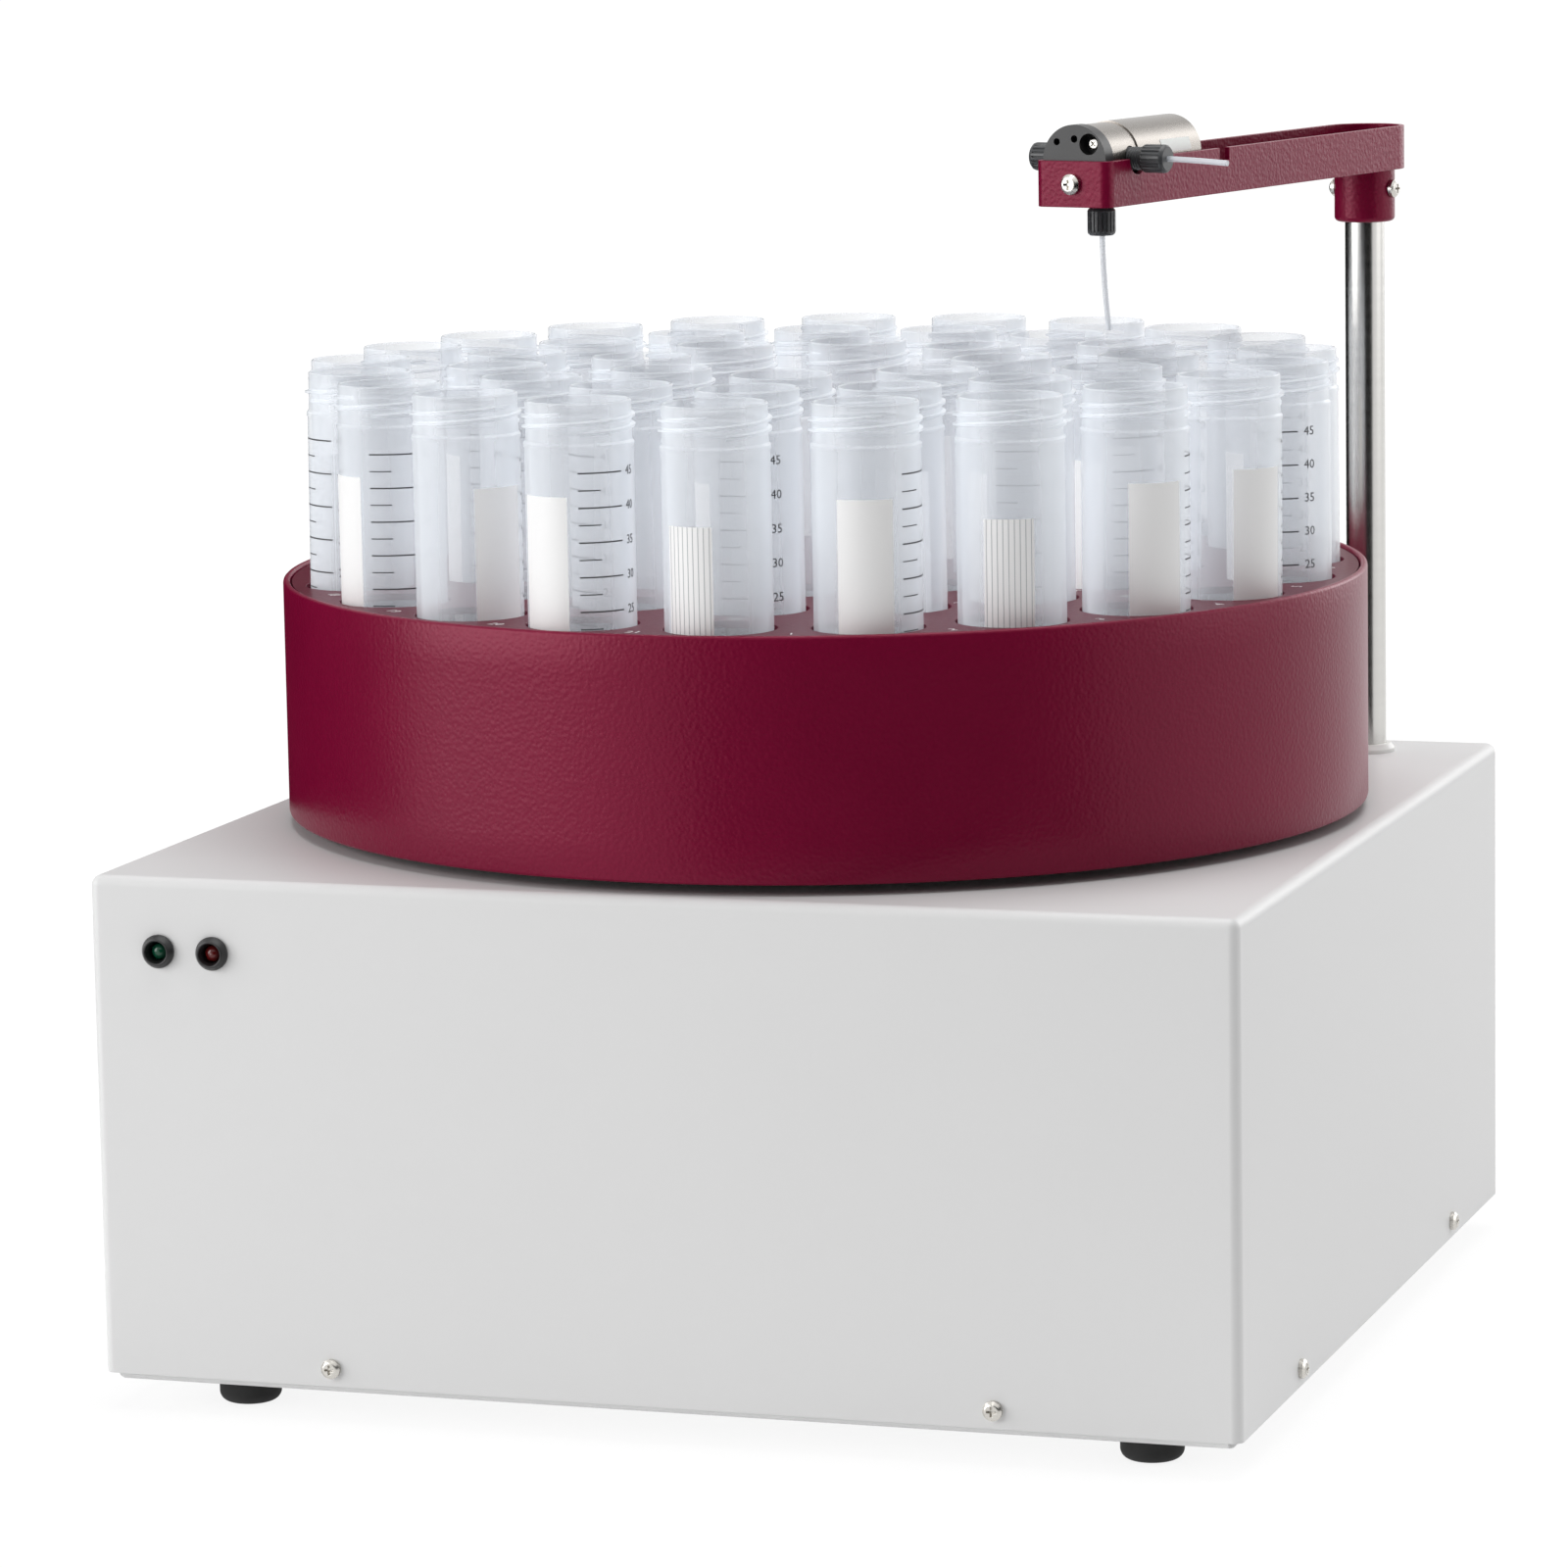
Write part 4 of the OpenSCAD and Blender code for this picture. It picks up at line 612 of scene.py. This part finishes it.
@dataclass
class Studio:
    """Camera, lights, floor and surround."""

    eye: Point = (0.5937, -1.8411, 0.4588)
    yaw_deg: float = 18.26
    pitch_deg: float = 8.81
    roll_deg: float = -0.99
    focal_px: float = 6800.0
    frame_px: float = 1600.0
    sensor_mm: float = 36.0
    fill: float = 0.24
    lamps: tuple[tuple[str, Point, Point, float, float], ...] = (
        ("left_softbox", (-2.3, -1.75, 0.75), (0, 0, 0.12), 2.4, 71.0),
        ("right_softbox", (2.1, 0.55, 0.8), (0, 0, 0.18), 1.3, 6.5),
        ("rear_softbox", (1.1, 2.0, 0.8), (0, 0, 0.2), 1.2, 12.0),
        ("top_softbox", (0.2, 0.1, 1.9), (0, 0, 0.2), 1.6, 22.0))
    flags: tuple[tuple[str, float, float], ...] = (
        ("left_flag", 108.0, 200.0), ("front_flag", 263.0, 338.0))
    flag_edges: tuple[tuple[float, float], tuple[float, float]] = ((0.5, 0.002), (2.8, 1.3))
    floor_reach: float = 30.0
    floor_drop: float = 0.0002
    floor_white: float = 0.92
    floor_glow: float = 1.06
    shadow_reach: tuple[float, float] = (0.30, 1.0)
    shadow_hidden: tuple[float, float] = (0.70, 0.86)
    floor_fill: float = 0.13

    def build(self) -> None:
        """Set up everything around the object."""
        self._camera()
        self._surround()
        self._floor()
        for lamp in self.lamps:
            self._lamp(*lamp)
        for flag in self.flags:
            self._flag(*flag)
        bpy.context.scene.view_settings.view_transform = "Standard"

    def _camera(self) -> None:
        """Stand the camera where the photograph was taken from."""
        yaw, pitch, roll = (math.radians(a) for a in
                            (self.yaw_deg, self.pitch_deg, self.roll_deg))
        ahead = Vector((-math.sin(yaw) * math.cos(pitch), math.cos(yaw) * math.cos(pitch),
                        -math.sin(pitch)))
        level = Vector((math.cos(yaw), math.sin(yaw), 0))
        rise = level.cross(ahead)
        right = math.cos(roll) * level + math.sin(roll) * rise
        up = -math.sin(roll) * level + math.cos(roll) * rise
        data = bpy.data.cameras.new("camera")
        data.sensor_width = self.sensor_mm
        data.lens = self.focal_px / self.frame_px * self.sensor_mm
        data.clip_start, data.clip_end = 0.05, 50.0
        cam = bpy.data.objects.new("camera", data)
        turn = Matrix((right, up, -ahead)).transposed().to_4x4()
        cam.matrix_world = Matrix.Translation(self.eye) @ turn
        bpy.context.scene.collection.objects.link(cam)
        bpy.context.scene.camera = cam

    def _lamp(self, name: str, spot: Point, target: Point, size: float, power: float) -> None:
        """Hang a square softbox.

        Args:
            name: Its name.
            spot: Where it hangs.
            target: What it faces.
            size: Its side, in metres.
            power: Its power, in watts.
        """
        data = bpy.data.lights.new(name, "AREA")
        data.size, data.energy = size, power
        lamp = bpy.data.objects.new(name, data)
        lamp.location = spot
        lamp.rotation_euler = (Vector(target) - Vector(spot)).to_track_quat("-Z", "Y").to_euler()
        bpy.context.scene.collection.objects.link(lamp)

    def _flag(self, name: str, first: float, last: float) -> None:
        """Stand a black flag that only glossy reflections see, sloping up from the floor.

        Args:
            name: Its name.
            first: Bearing of its first edge, in degrees from +X.
            last: Bearing of its last edge.
        """
        steps = 8
        turns = [math.radians(first + (last - first) * k / steps) for k in range(steps + 1)]
        points = [(r * math.cos(a), r * math.sin(a), z) for a in turns for r, z in self.flag_edges]
        mesh = bpy.data.meshes.new(name)
        mesh.from_pydata(points, [], [(2 * k, 2 * k + 1, 2 * k + 3, 2 * k + 2)
                                      for k in range(steps)])
        flag = bpy.data.objects.new(name, mesh)
        bpy.context.scene.collection.objects.link(flag)
        mat = bpy.data.materials.new(name)
        mat.use_nodes = True
        black = mat.node_tree.nodes["Principled BSDF"]
        black.inputs["Base Color"].default_value = (0.0, 0.0, 0.0, 1)
        black.inputs["Specular IOR Level"].default_value = 0.0
        mesh.materials.append(mat)
        flag.visible_camera = flag.visible_diffuse = flag.visible_shadow = False
        flag.visible_transmission = False

    def _seen(self, nodes: bpy.types.Nodes, links: bpy.types.NodeLinks) -> bpy.types.NodeSocket:
        """Add the test for rays that see the backdrop.

        Args:
            nodes: The tree's nodes.
            links: The tree's links.

        Returns:
            A socket that is 1 for camera, glossy and transmission rays.
        """
        path = nodes.new("ShaderNodeLightPath")
        seen = path.outputs["Is Camera Ray"]
        for kind in ("Is Glossy Ray", "Is Transmission Ray"):
            add = nodes.new("ShaderNodeMath")
            add.operation, add.use_clamp = "ADD", True
            links.new(seen, add.inputs[0])
            links.new(path.outputs[kind], add.inputs[1])
            seen = add.outputs[0]
        return seen

    def _surround(self) -> None:
        """A soft grey surround that the camera sees as white."""
        world = bpy.data.worlds.new("surround")
        world.use_nodes = True
        bpy.context.scene.world = world
        nodes, links = world.node_tree.nodes, world.node_tree.links
        light = nodes["Background"]
        light.inputs["Color"].default_value = (1, 1, 1, 1)
        light.inputs["Strength"].default_value = self.fill
        white = nodes.new("ShaderNodeBackground")
        white.inputs["Strength"].default_value = 1.0
        white.inputs["Color"].default_value = (1, 1, 1, 1)
        mix = nodes.new("ShaderNodeMixShader")
        links.new(self._seen(nodes, links), mix.inputs[0])
        links.new(light.outputs[0], mix.inputs[1])
        links.new(white.outputs[0], mix.inputs[2])
        links.new(mix.outputs[0], nodes["World Output"].inputs["Surface"])

    def _floor(self) -> None:
        """A pale floor that melts into the background but keeps the shadow."""
        mesh = bpy.data.meshes.new("floor")
        r, z = self.floor_reach, -self.floor_drop
        mesh.from_pydata([(-r, -r, z), (r, -r, z), (r, r, z), (-r, r, z)], [], [(0, 1, 2, 3)])
        obj = bpy.data.objects.new("floor", mesh)
        bpy.context.scene.collection.objects.link(obj)
        mat = bpy.data.materials.new("floor")
        mat.use_nodes = True
        nodes, links = mat.node_tree.nodes, mat.node_tree.links
        matte = nodes["Principled BSDF"]
        matte.inputs["Base Color"].default_value = (*(self.floor_white,) * 3, 1)
        matte.inputs["Roughness"].default_value = 0.9
        glow = nodes.new("ShaderNodeEmission")
        glow.inputs["Strength"].default_value = self.floor_glow
        coords = nodes.new("ShaderNodeTexCoord")
        away = nodes.new("ShaderNodeVectorMath")
        away.operation = "LENGTH"
        links.new(coords.outputs["Object"], away.inputs[0])
        fade = nodes.new("ShaderNodeMapRange")
        for end, reach, hidden in zip(("Min", "Max"), self.shadow_reach, self.shadow_hidden):
            fade.inputs["From " + end].default_value = reach
            fade.inputs["To " + end].default_value = hidden
        links.new(away.outputs["Value"], fade.inputs["Value"])
        part = nodes.new("ShaderNodeMath")
        part.operation = "MULTIPLY_ADD"
        part.inputs[2].default_value = self.floor_fill
        links.new(self._seen(nodes, links), part.inputs[0])
        links.new(fade.outputs["Result"], part.inputs[1])
        mix = nodes.new("ShaderNodeMixShader")
        links.new(part.outputs[0], mix.inputs[0])
        links.new(matte.outputs[0], mix.inputs[1])
        links.new(glow.outputs[0], mix.inputs[2])
        links.new(mix.outputs[0], nodes["Material Output"].inputs["Surface"])
        mesh.materials.append(mat)


@dataclass
class Housing:
    """The sheet-metal housing and what is fixed to it."""

    hood_edge: float = 0.35 * MM
    tray_edge: float = 0.3 * MM

    def build(self) -> None:
        """Dress the housing."""
        for node, name, edge in (("hood", "hood_shell", self.hood_edge),
                                 ("bottom_tray", "tray_shell", self.tray_edge)):
            attach(refined(node, name, POWDER_WHITE, edge), "base", POWDER_WHITE, node)
        for node, finish, bevel in (
                ("feet", RUBBER, 0.4 * MM), ("cover_screws", SCREW_STEEL, 0.12 * MM),
                ("led_bezels", BLACK, 0.15 * MM), ("led_green", GREEN_LAMP, 0.0),
                ("led_red", RED_LAMP, 0.0), ("upper_bush", WHITE_RESIN, 0.15 * MM),
                ("mains_inlet", BLACK, 0.4 * MM), ("rear_connectors", NICKEL, 0.2 * MM)):
            attach(refined(node, node + "_piece", finish, bevel), "base", finish, node)
        attach(refined("power_rocker", "power_rocker_piece", GLOSS_BLACK, 0.4 * MM), "rocker",
               GLOSS_BLACK, "power_rocker")


@dataclass
class Tube:
    """A 50 ml centrifuge tube with its thread and its printed scale."""

    radius: float = 15.0 * MM
    length: float = 115.0 * MM
    wall: float = 1.3 * MM
    cone: float = 15.5 * MM
    tip: float = 3.0 * MM
    neck: float = 14.6 * MM
    lip: float = 0.35 * MM
    ridge: float = 0.25 * MM
    thread: tuple[float, float, float, float] = (1.05 * MM, 5.6 * MM, 0.94, 1.5 * MM)
    thread_top: float = 3.2 * MM
    thread_start: float = 0.4
    scale_from: float = 19.0 * MM
    scale_step: float = 9.5 * MM
    scale_lines: int = 13
    scale_deg: tuple[float, float, float, float] = (42.0, 66.0, 93.0, 107.0)
    patch_half_deg: float = 30.0
    patch_top: float = 25.5 * MM
    barred_half_deg: float = 27.0
    barred_top: float = 32.4 * MM
    patch_low: float = 84.0 * MM

    def wall_shape(self) -> Shape:
        """Shape the tube's wall and its thread.

        Returns:
            The shape, standing on the origin.
        """
        inner, top, lip = self.radius - self.wall, self.length, self.lip
        profile = [(0.0, 0.0), (self.tip - 0.8 * MM, 0.0), (self.tip, 0.5 * MM),
                   (self.radius - 0.3 * MM, self.cone - 0.5 * MM),
                   (self.radius, self.cone + 1.0 * MM), (self.radius, top * 0.5),
                   (self.radius, top - 13.0 * MM), (self.radius + self.ridge, top - 12.6 * MM),
                   (self.radius + self.ridge, top - 11.6 * MM),
                   (self.neck + 0.1 * MM, top - 10.9 * MM),
                   (self.neck, top - 9.0 * MM), (self.neck, top - lip),
                   (self.neck - lip, top), (inner + lip, top), (inner, top - lip),
                   (inner, top * 0.5), (inner, self.cone + 1.4 * MM),
                   (self.tip - 0.9 * MM, self.wall + 0.9 * MM), (0.0, self.wall + 0.6 * MM)]
        shape = Shape()
        shape.lathe(profile)
        for start in (self.thread_start, self.thread_start + math.pi):
            shape.helix(self.neck, *self.thread, top - self.thread_top, start)
        return shape

    def ink_shape(self) -> Shape:
        """Shape the scale's lines and numbers.

        Returns:
            The shape, for a patch centred on +X.
        """
        shape = Shape()
        r, thick = self.radius, 0.06 * MM
        first, short, full, digits = (math.radians(d) for d in self.scale_deg)
        for k in range(self.scale_lines):
            z = self.length - self.scale_from - k * self.scale_step / 2
            major = k % 2 == 0
            half = 0.20 * MM if major else 0.15 * MM
            shape.wrap(r, thick, (first, full if major else short), (z - half, z + half), 6)
        for k, number in enumerate(("45", "40", "35", "30", "25", "20")):
            z = self.length - self.scale_from - k * self.scale_step
            turn = Matrix.Translation((0, 0, z)) @ Matrix.Rotation(digits, 4, "Z")
            shape.lettering(number, 3.6 * MM, turn, r + SKIN)
        return shape

    def patch_shape(self, half_deg: float, top: float) -> Shape:
        """Shape a plain write-on area.

        Args:
            half_deg: Half of the angle that it spans.
            top: Its upper edge below the rim.

        Returns:
            The shape, centred on +X.
        """
        shape = Shape()
        half = math.radians(half_deg)
        shape.wrap(self.radius, 0.08 * MM, (-half, half),
                   (self.length - self.patch_low, self.length - top), 12)
        return shape

    def stripe_shape(self) -> Shape:
        """Shape the thin bars that cross a barred write-on area.

        Returns:
            The shape, centred on +X.
        """
        shape = Shape()
        half, bars = math.radians(self.barred_half_deg), 9
        for k in range(bars):
            a = half * (2 * (k + 0.5) / bars - 1)
            w = math.radians(0.42)
            shape.wrap(self.radius + 0.08 * MM, 0.05 * MM, (a - w, a + w),
                       (self.length - self.patch_low, self.length - self.barred_top), 1)
        return shape


@dataclass
class Carousel:
    """The drum, its plates and its three rings of tubes."""

    outer: tuple[float, int] = (136.0 * MM, 21)
    middle: tuple[float, int] = (95.0 * MM, 15)
    inner: tuple[float, int] = (54.0 * MM, 8)
    index_deg: float = -84.36362
    seat_z: float = 169.6917 * MM
    drum_radius: float = 158.0 * MM
    drum_low: float = 155.4 * MM
    drum_high: float = 223.6 * MM
    drum_wall: float = 2.0 * MM
    lip: float = 6.0 * MM
    plate_top: float = 222.8 * MM
    number_out: float = 11.5 * MM
    number_size: float = 4.6 * MM
    lean_deg: float = 0.45
    seed: int = 11
    front_turns_deg: dict[int, float] = field(default_factory=lambda: {
        18: -66.0, 19: 37.0, 20: -44.0, 0: -32.5, 1: -2.5, 2: -3.0, 3: 22.5, 4: 35.0})
    barred: tuple[int, ...] = (0, 2)

    def build(self, eye: Point) -> None:
        """Build the drum and the tubes.

        Args:
            eye: Where the camera stands, for the turn of the front tubes.
        """
        self._drum()
        attach(refined("upper_plate", "upper_plate_skin", PLATE_CRIMSON, 0.15 * MM), "carousel",
               PLATE_CRIMSON, "upper_plate")
        self._numbers()
        self._tubes(eye)

    def _drum(self) -> None:
        """Spin the drum's wall with its full-round rim."""
        r, t, low, high = self.drum_radius, self.drum_wall, self.drum_low, self.drum_high
        edge = t / 2
        profile = [(r - t - self.lip, low), (r - edge, low)]
        profile += [(r - edge + edge * math.sin(a), low + edge - edge * math.cos(a))
                    for a in (math.radians(d) for d in (30, 60, 90))]
        profile += [(r, low + (high - low) * k / 6) for k in range(1, 6)]
        profile += [(r - edge + edge * math.cos(a), high - edge + edge * math.sin(a))
                    for a in (math.radians(d) for d in range(0, 181, 30))]
        profile += [(r - t, low + t), (r - t - self.lip, low + t)]
        shape = Shape()
        shape.lathe(profile, 192)
        attach(shape.build("drum_wall", POWDER_CRIMSON), "carousel", POWDER_CRIMSON, "drum")

    def _angle(self, count: int, i: int) -> float:
        """Angle of one tube about the drum's axis, in radians."""
        return math.radians(self.index_deg) + math.tau * i / count

    def _numbers(self) -> None:
        """Print each place's number on the upper plate."""
        shape = Shape()
        number = 1
        for (radius, count), out in ((self.outer, self.number_out), (self.middle, 0.0),
                                     (self.inner, 0.0)):
            for i in range(count):
                a = self._angle(count, i + 0.5)
                r = radius + out
                place = (Matrix.Translation((r * math.cos(a), r * math.sin(a),
                                             self.plate_top + 0.03 * MM))
                         @ Matrix.Rotation(a + math.pi / 2, 4, "Z"))
                shape.lettering(str(number), self.number_size, place)
                number += 1
        attach(shape.build("plate_numbers", PLATE_INK), "carousel", PLATE_INK)

    def _tubes(self, eye: Point) -> None:
        """Set out all the tubes, group by group.

        Args:
            eye: Where the camera stands.
        """
        tube, repeat, draw = Tube(), Repeater(), random.Random(self.seed)
        wall, ink, patch, low_patch, bars = (
            shape.build(name + "_template", finish) for shape, name, finish in (
                (tube.wall_shape(), "tube_wall", TUBE_WALL), (tube.ink_shape(), "tube_ink", INK),
                (tube.patch_shape(tube.patch_half_deg, tube.patch_top), "tube_patch", WHITE_INK),
                (tube.patch_shape(tube.barred_half_deg, tube.barred_top), "low_patch", WHITE_INK),
                (tube.stripe_shape(), "tube_bars", PALE_INK)))
        groups = (("outer_right", self.outer, (0, 2, 3, 4, 5, 6, 7), "tubes_outer_right"),
                  ("outer_rear", self.outer, tuple(range(8, 15)), "tubes_outer_rear"),
                  ("outer_left", self.outer, tuple(range(15, 21)), "tubes_outer_left"),
                  ("middle_right", self.middle, tuple(range(0, 8)), "tubes_middle_right"),
                  ("middle_left", self.middle, tuple(range(8, 15)), "tubes_middle_left"),
                  ("inner_ring", self.inner, tuple(range(8)), "tubes_inner"),
                  ("loose", self.outer, (1,), "lift_tube"))
        for name, (radius, count), members, node in groups:
            body = "loose_tube" if name == "loose" else "carousel"
            places, barred = [], []
            for i in members:
                a = self._angle(count, i)
                x, y = radius * math.cos(a), radius * math.sin(a)
                spin = draw.uniform(-math.pi, math.pi)
                if count == self.outer[1] and i in self.front_turns_deg:
                    spin = (math.atan2(eye[1] - y, eye[0] - x)
                            + math.radians(self.front_turns_deg[i]))
                lean = math.radians(0.0 if name == "loose" else self.lean_deg)
                turn = (draw.uniform(-lean, lean), draw.uniform(-lean, lean), spin)
                places.append(((x, y, self.seat_z), turn))
                if count == self.outer[1] and i in self.barred:
                    barred.append(places[-1])
            walls = repeat.spread(name + "_tube_walls", wall, places, TUBE_WALL)
            walls.visible_shadow = False
            attach(walls, body, TUBE_WALL, node)
            plain = [p for p in places if p not in barred]
            patches = repeat.spread(name + "_tube_patches", patch, plain, WHITE_INK)
            patches.visible_shadow = False
            attach(patches, body, WHITE_INK)
            attach(repeat.spread(name + "_tube_scales", ink, plain, INK), body, INK)
            if barred:
                attach(repeat.spread(name + "_low_patches", low_patch, barred, WHITE_INK), body,
                       WHITE_INK)
                attach(repeat.spread(name + "_tube_bars", bars, barred, PALE_INK), body, PALE_INK)
        for template in (wall, ink, patch, low_patch, bars):
            bpy.data.objects.remove(template)


@dataclass
class Arm:
    """The swinging arm with its diverter valve."""

    post: tuple[float, float] = (129.5 * MM, 137.7 * MM)
    angle_deg: float = -103.992351
    reach: float = 162.3 * MM
    tip_out: float = 2.6 * MM
    axis_z: float = 343.79 * MM
    tip_z: float = 295.09 * MM
    tubing_radius: float = 0.8 * MM
    thread_radius: float = 3.0 * MM
    thread_start: float = 4.8 * MM
    thread_rise: float = 0.8 * MM
    outlet_room: float = 26.8 * MM
    head_radius: float = 4.0 * MM
    head_len: float = 7.8 * MM
    outlet_len: float = 7.8 * MM
    side_start: float = 13.8 * MM
    flutes: int = 20
    flute_depth: float = 0.38 * MM
    head_smooth_deg: float = 25.0
    stub: float = 19.0 * MM
    label: tuple[float, float] = (128.0 * MM, 145.0 * MM)
    can_radius: float = 10.2 * MM

    def frame(self, along: float = 0.0, z: float = 0.0) -> Matrix:
        """Place the arm's own frame, X along the arm from the post.

        Args:
            along: Distance from the post.
            z: Height.

        Returns:
            The matrix.
        """
        return (Matrix.Translation((*self.post, z))
                @ Matrix.Rotation(math.radians(self.angle_deg), 4, "Z")
                @ Matrix.Translation((along, 0, 0)))

    def build(self) -> None:
        """Dress the arm and the valve."""
        for node, finish, bevel in (
                ("arm_channel", POWDER_CRIMSON, 0.6 * MM), ("arm_hub", POWDER_CRIMSON, 0.2 * MM),
                ("arm_screws", SCREW_STEEL, 0.1 * MM), ("arm_post", GROUND_STEEL, 0.2 * MM),
                ("valve_body", BLACK, 0.15 * MM), ("valve_screws", SCREW_STEEL, 0.1 * MM),
                ("valve_sleeve", NICKEL, 0.15 * MM), ("solenoid_can", NICKEL, 0.3 * MM)):
            attach(refined(node, node + "_piece", finish, bevel), "arm", finish, node)
        self._fittings()
        self._tubing()
        self._label()

    def _fitting(self, start: float, length: float) -> Shape:
        """Shape a finger-tight fitting with a fluted head, its port's face at z = 0.

        Args:
            start: Where the head starts.
            length: The head's length.

        Returns:
            The shape.
        """
        shape = Shape()
        bore, thread, z = self.tubing_radius + SKIN, self.thread_radius, self.thread_start
        profile = [(bore, z)]
        while z < start - 0.2 * MM:
            profile += [(thread, z), (thread + 0.28 * MM, z + 0.3 * MM), (thread, z + 0.6 * MM)]
            z += self.thread_rise
        profile += [(thread, start + 0.1 * MM), (bore, start + 0.1 * MM)]
        shape.lathe(profile, 40)
        r, sides = self.head_radius, self.flutes * 6
        rings = [(bore, 0.0, 0), (r - 0.7 * MM, 0.0, 0), (r - 0.2 * MM, 0.5 * MM, 0),
                 (r, 0.9 * MM, 0), (r, 1.3 * MM, 1), (r, length - 1.5 * MM, 1),
                 (r, length - 1.1 * MM, 0), (r - 0.15 * MM, length - 0.5 * MM, 0),
                 (r - 0.7 * MM, length, 0), (bore, length, 0)]
        points = []
        for radius, height, fluted in rings:
            for k in range(sides):
                cut = self.flute_depth if fluted and k % 6 in (0, 1) else 0.0
                a = math.tau * k / sides
                points.append(Vector(((radius - cut) * math.cos(a), (radius - cut) * math.sin(a),
                                      start + height)))
        shape.add(points, quads(len(rings), sides, True))
        return shape

    def _fittings(self) -> None:
        """Screw the three fittings into the valve."""
        side = self._fitting(self.side_start, self.head_len).build(
            "fitting_template", CHARCOAL, self.head_smooth_deg)
        base = self.frame(self.reach, self.axis_z)
        places = []
        for turn in (math.pi / 2, -math.pi / 2):
            m = base @ Matrix.Rotation(turn, 4, "X")
            places.append((tuple(m.translation), tuple(m.to_euler())))
        both = Repeater().spread("side_fittings_pair", side, places, CHARCOAL)
        attach(both, "arm", CHARCOAL, "side_fittings")
        bpy.data.objects.remove(side)
        start = self.axis_z - self.tip_z - self.outlet_room - self.outlet_len
        shape = self._fitting(start, self.outlet_len)
        shape.place(base @ Matrix.Rotation(math.pi, 4, "X"))
        outlet = shape.build("outlet_fitting_piece", CHARCOAL, self.head_smooth_deg)
        attach(outlet, "arm", CHARCOAL, "outlet_fitting")

    def _tubing(self) -> None:
        """Run the dispensing tube and the inlet's open stub, both a little bent."""
        base = self.frame(self.reach, self.axis_z)
        drop = self.axis_z - self.tip_z
        shape = Shape()
        low = self.thread_start
        down = [base @ Vector((0.9 * MM * math.sin(2.2 * t) * t, self.tip_out * t ** 2.2,
                               -(low + (drop - low) * t)))
                for t in (k / 24 for k in range(25))]
        shape.sweep(down, self.tubing_radius)
        reach = self.side_start + self.head_len + self.stub
        out = [base @ Vector((0, low + (reach - low) * t, -2.2 * MM * max(0.0, t - 0.45) ** 1.5))
               for t in (k / 24 for k in range(25))]
        shape.sweep(out, self.tubing_radius)
        attach(shape.build("tubing_piece", TUBING), "arm", TUBING, "tubing")

    def _label(self) -> None:
        """Lay a bare label on the solenoid's can."""
        shape = Shape()
        shape.wrap(self.can_radius, 0.08 * MM, (math.radians(3), math.radians(24)), self.label, 6)
        shape.place(self.frame(0, self.axis_z) @ Matrix.Rotation(math.pi / 2, 4, "Y")
                    @ Matrix.Rotation(math.radians(90), 4, "Z"))
        attach(shape.build("can_label", LABEL), "arm", LABEL)


def dress_hidden_nodes() -> None:
    """Give every mechanical node that stays its own finish."""
    for node, finish in NODE_FINISH.items():
        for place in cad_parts[node].material_slots:
            place.material = finish.material()
        LOG.info("%s keeps its shape, in %s", node, finish.name)


def main() -> None:
    """Build the whole scene."""
    logging.basicConfig(level=logging.INFO, format="%(message)s")
    studio = Studio()
    studio.build()
    dress_hidden_nodes()
    Housing().build()
    Carousel().build(studio.eye)
    Arm().build()


if __name__ == "__main__":
    main()
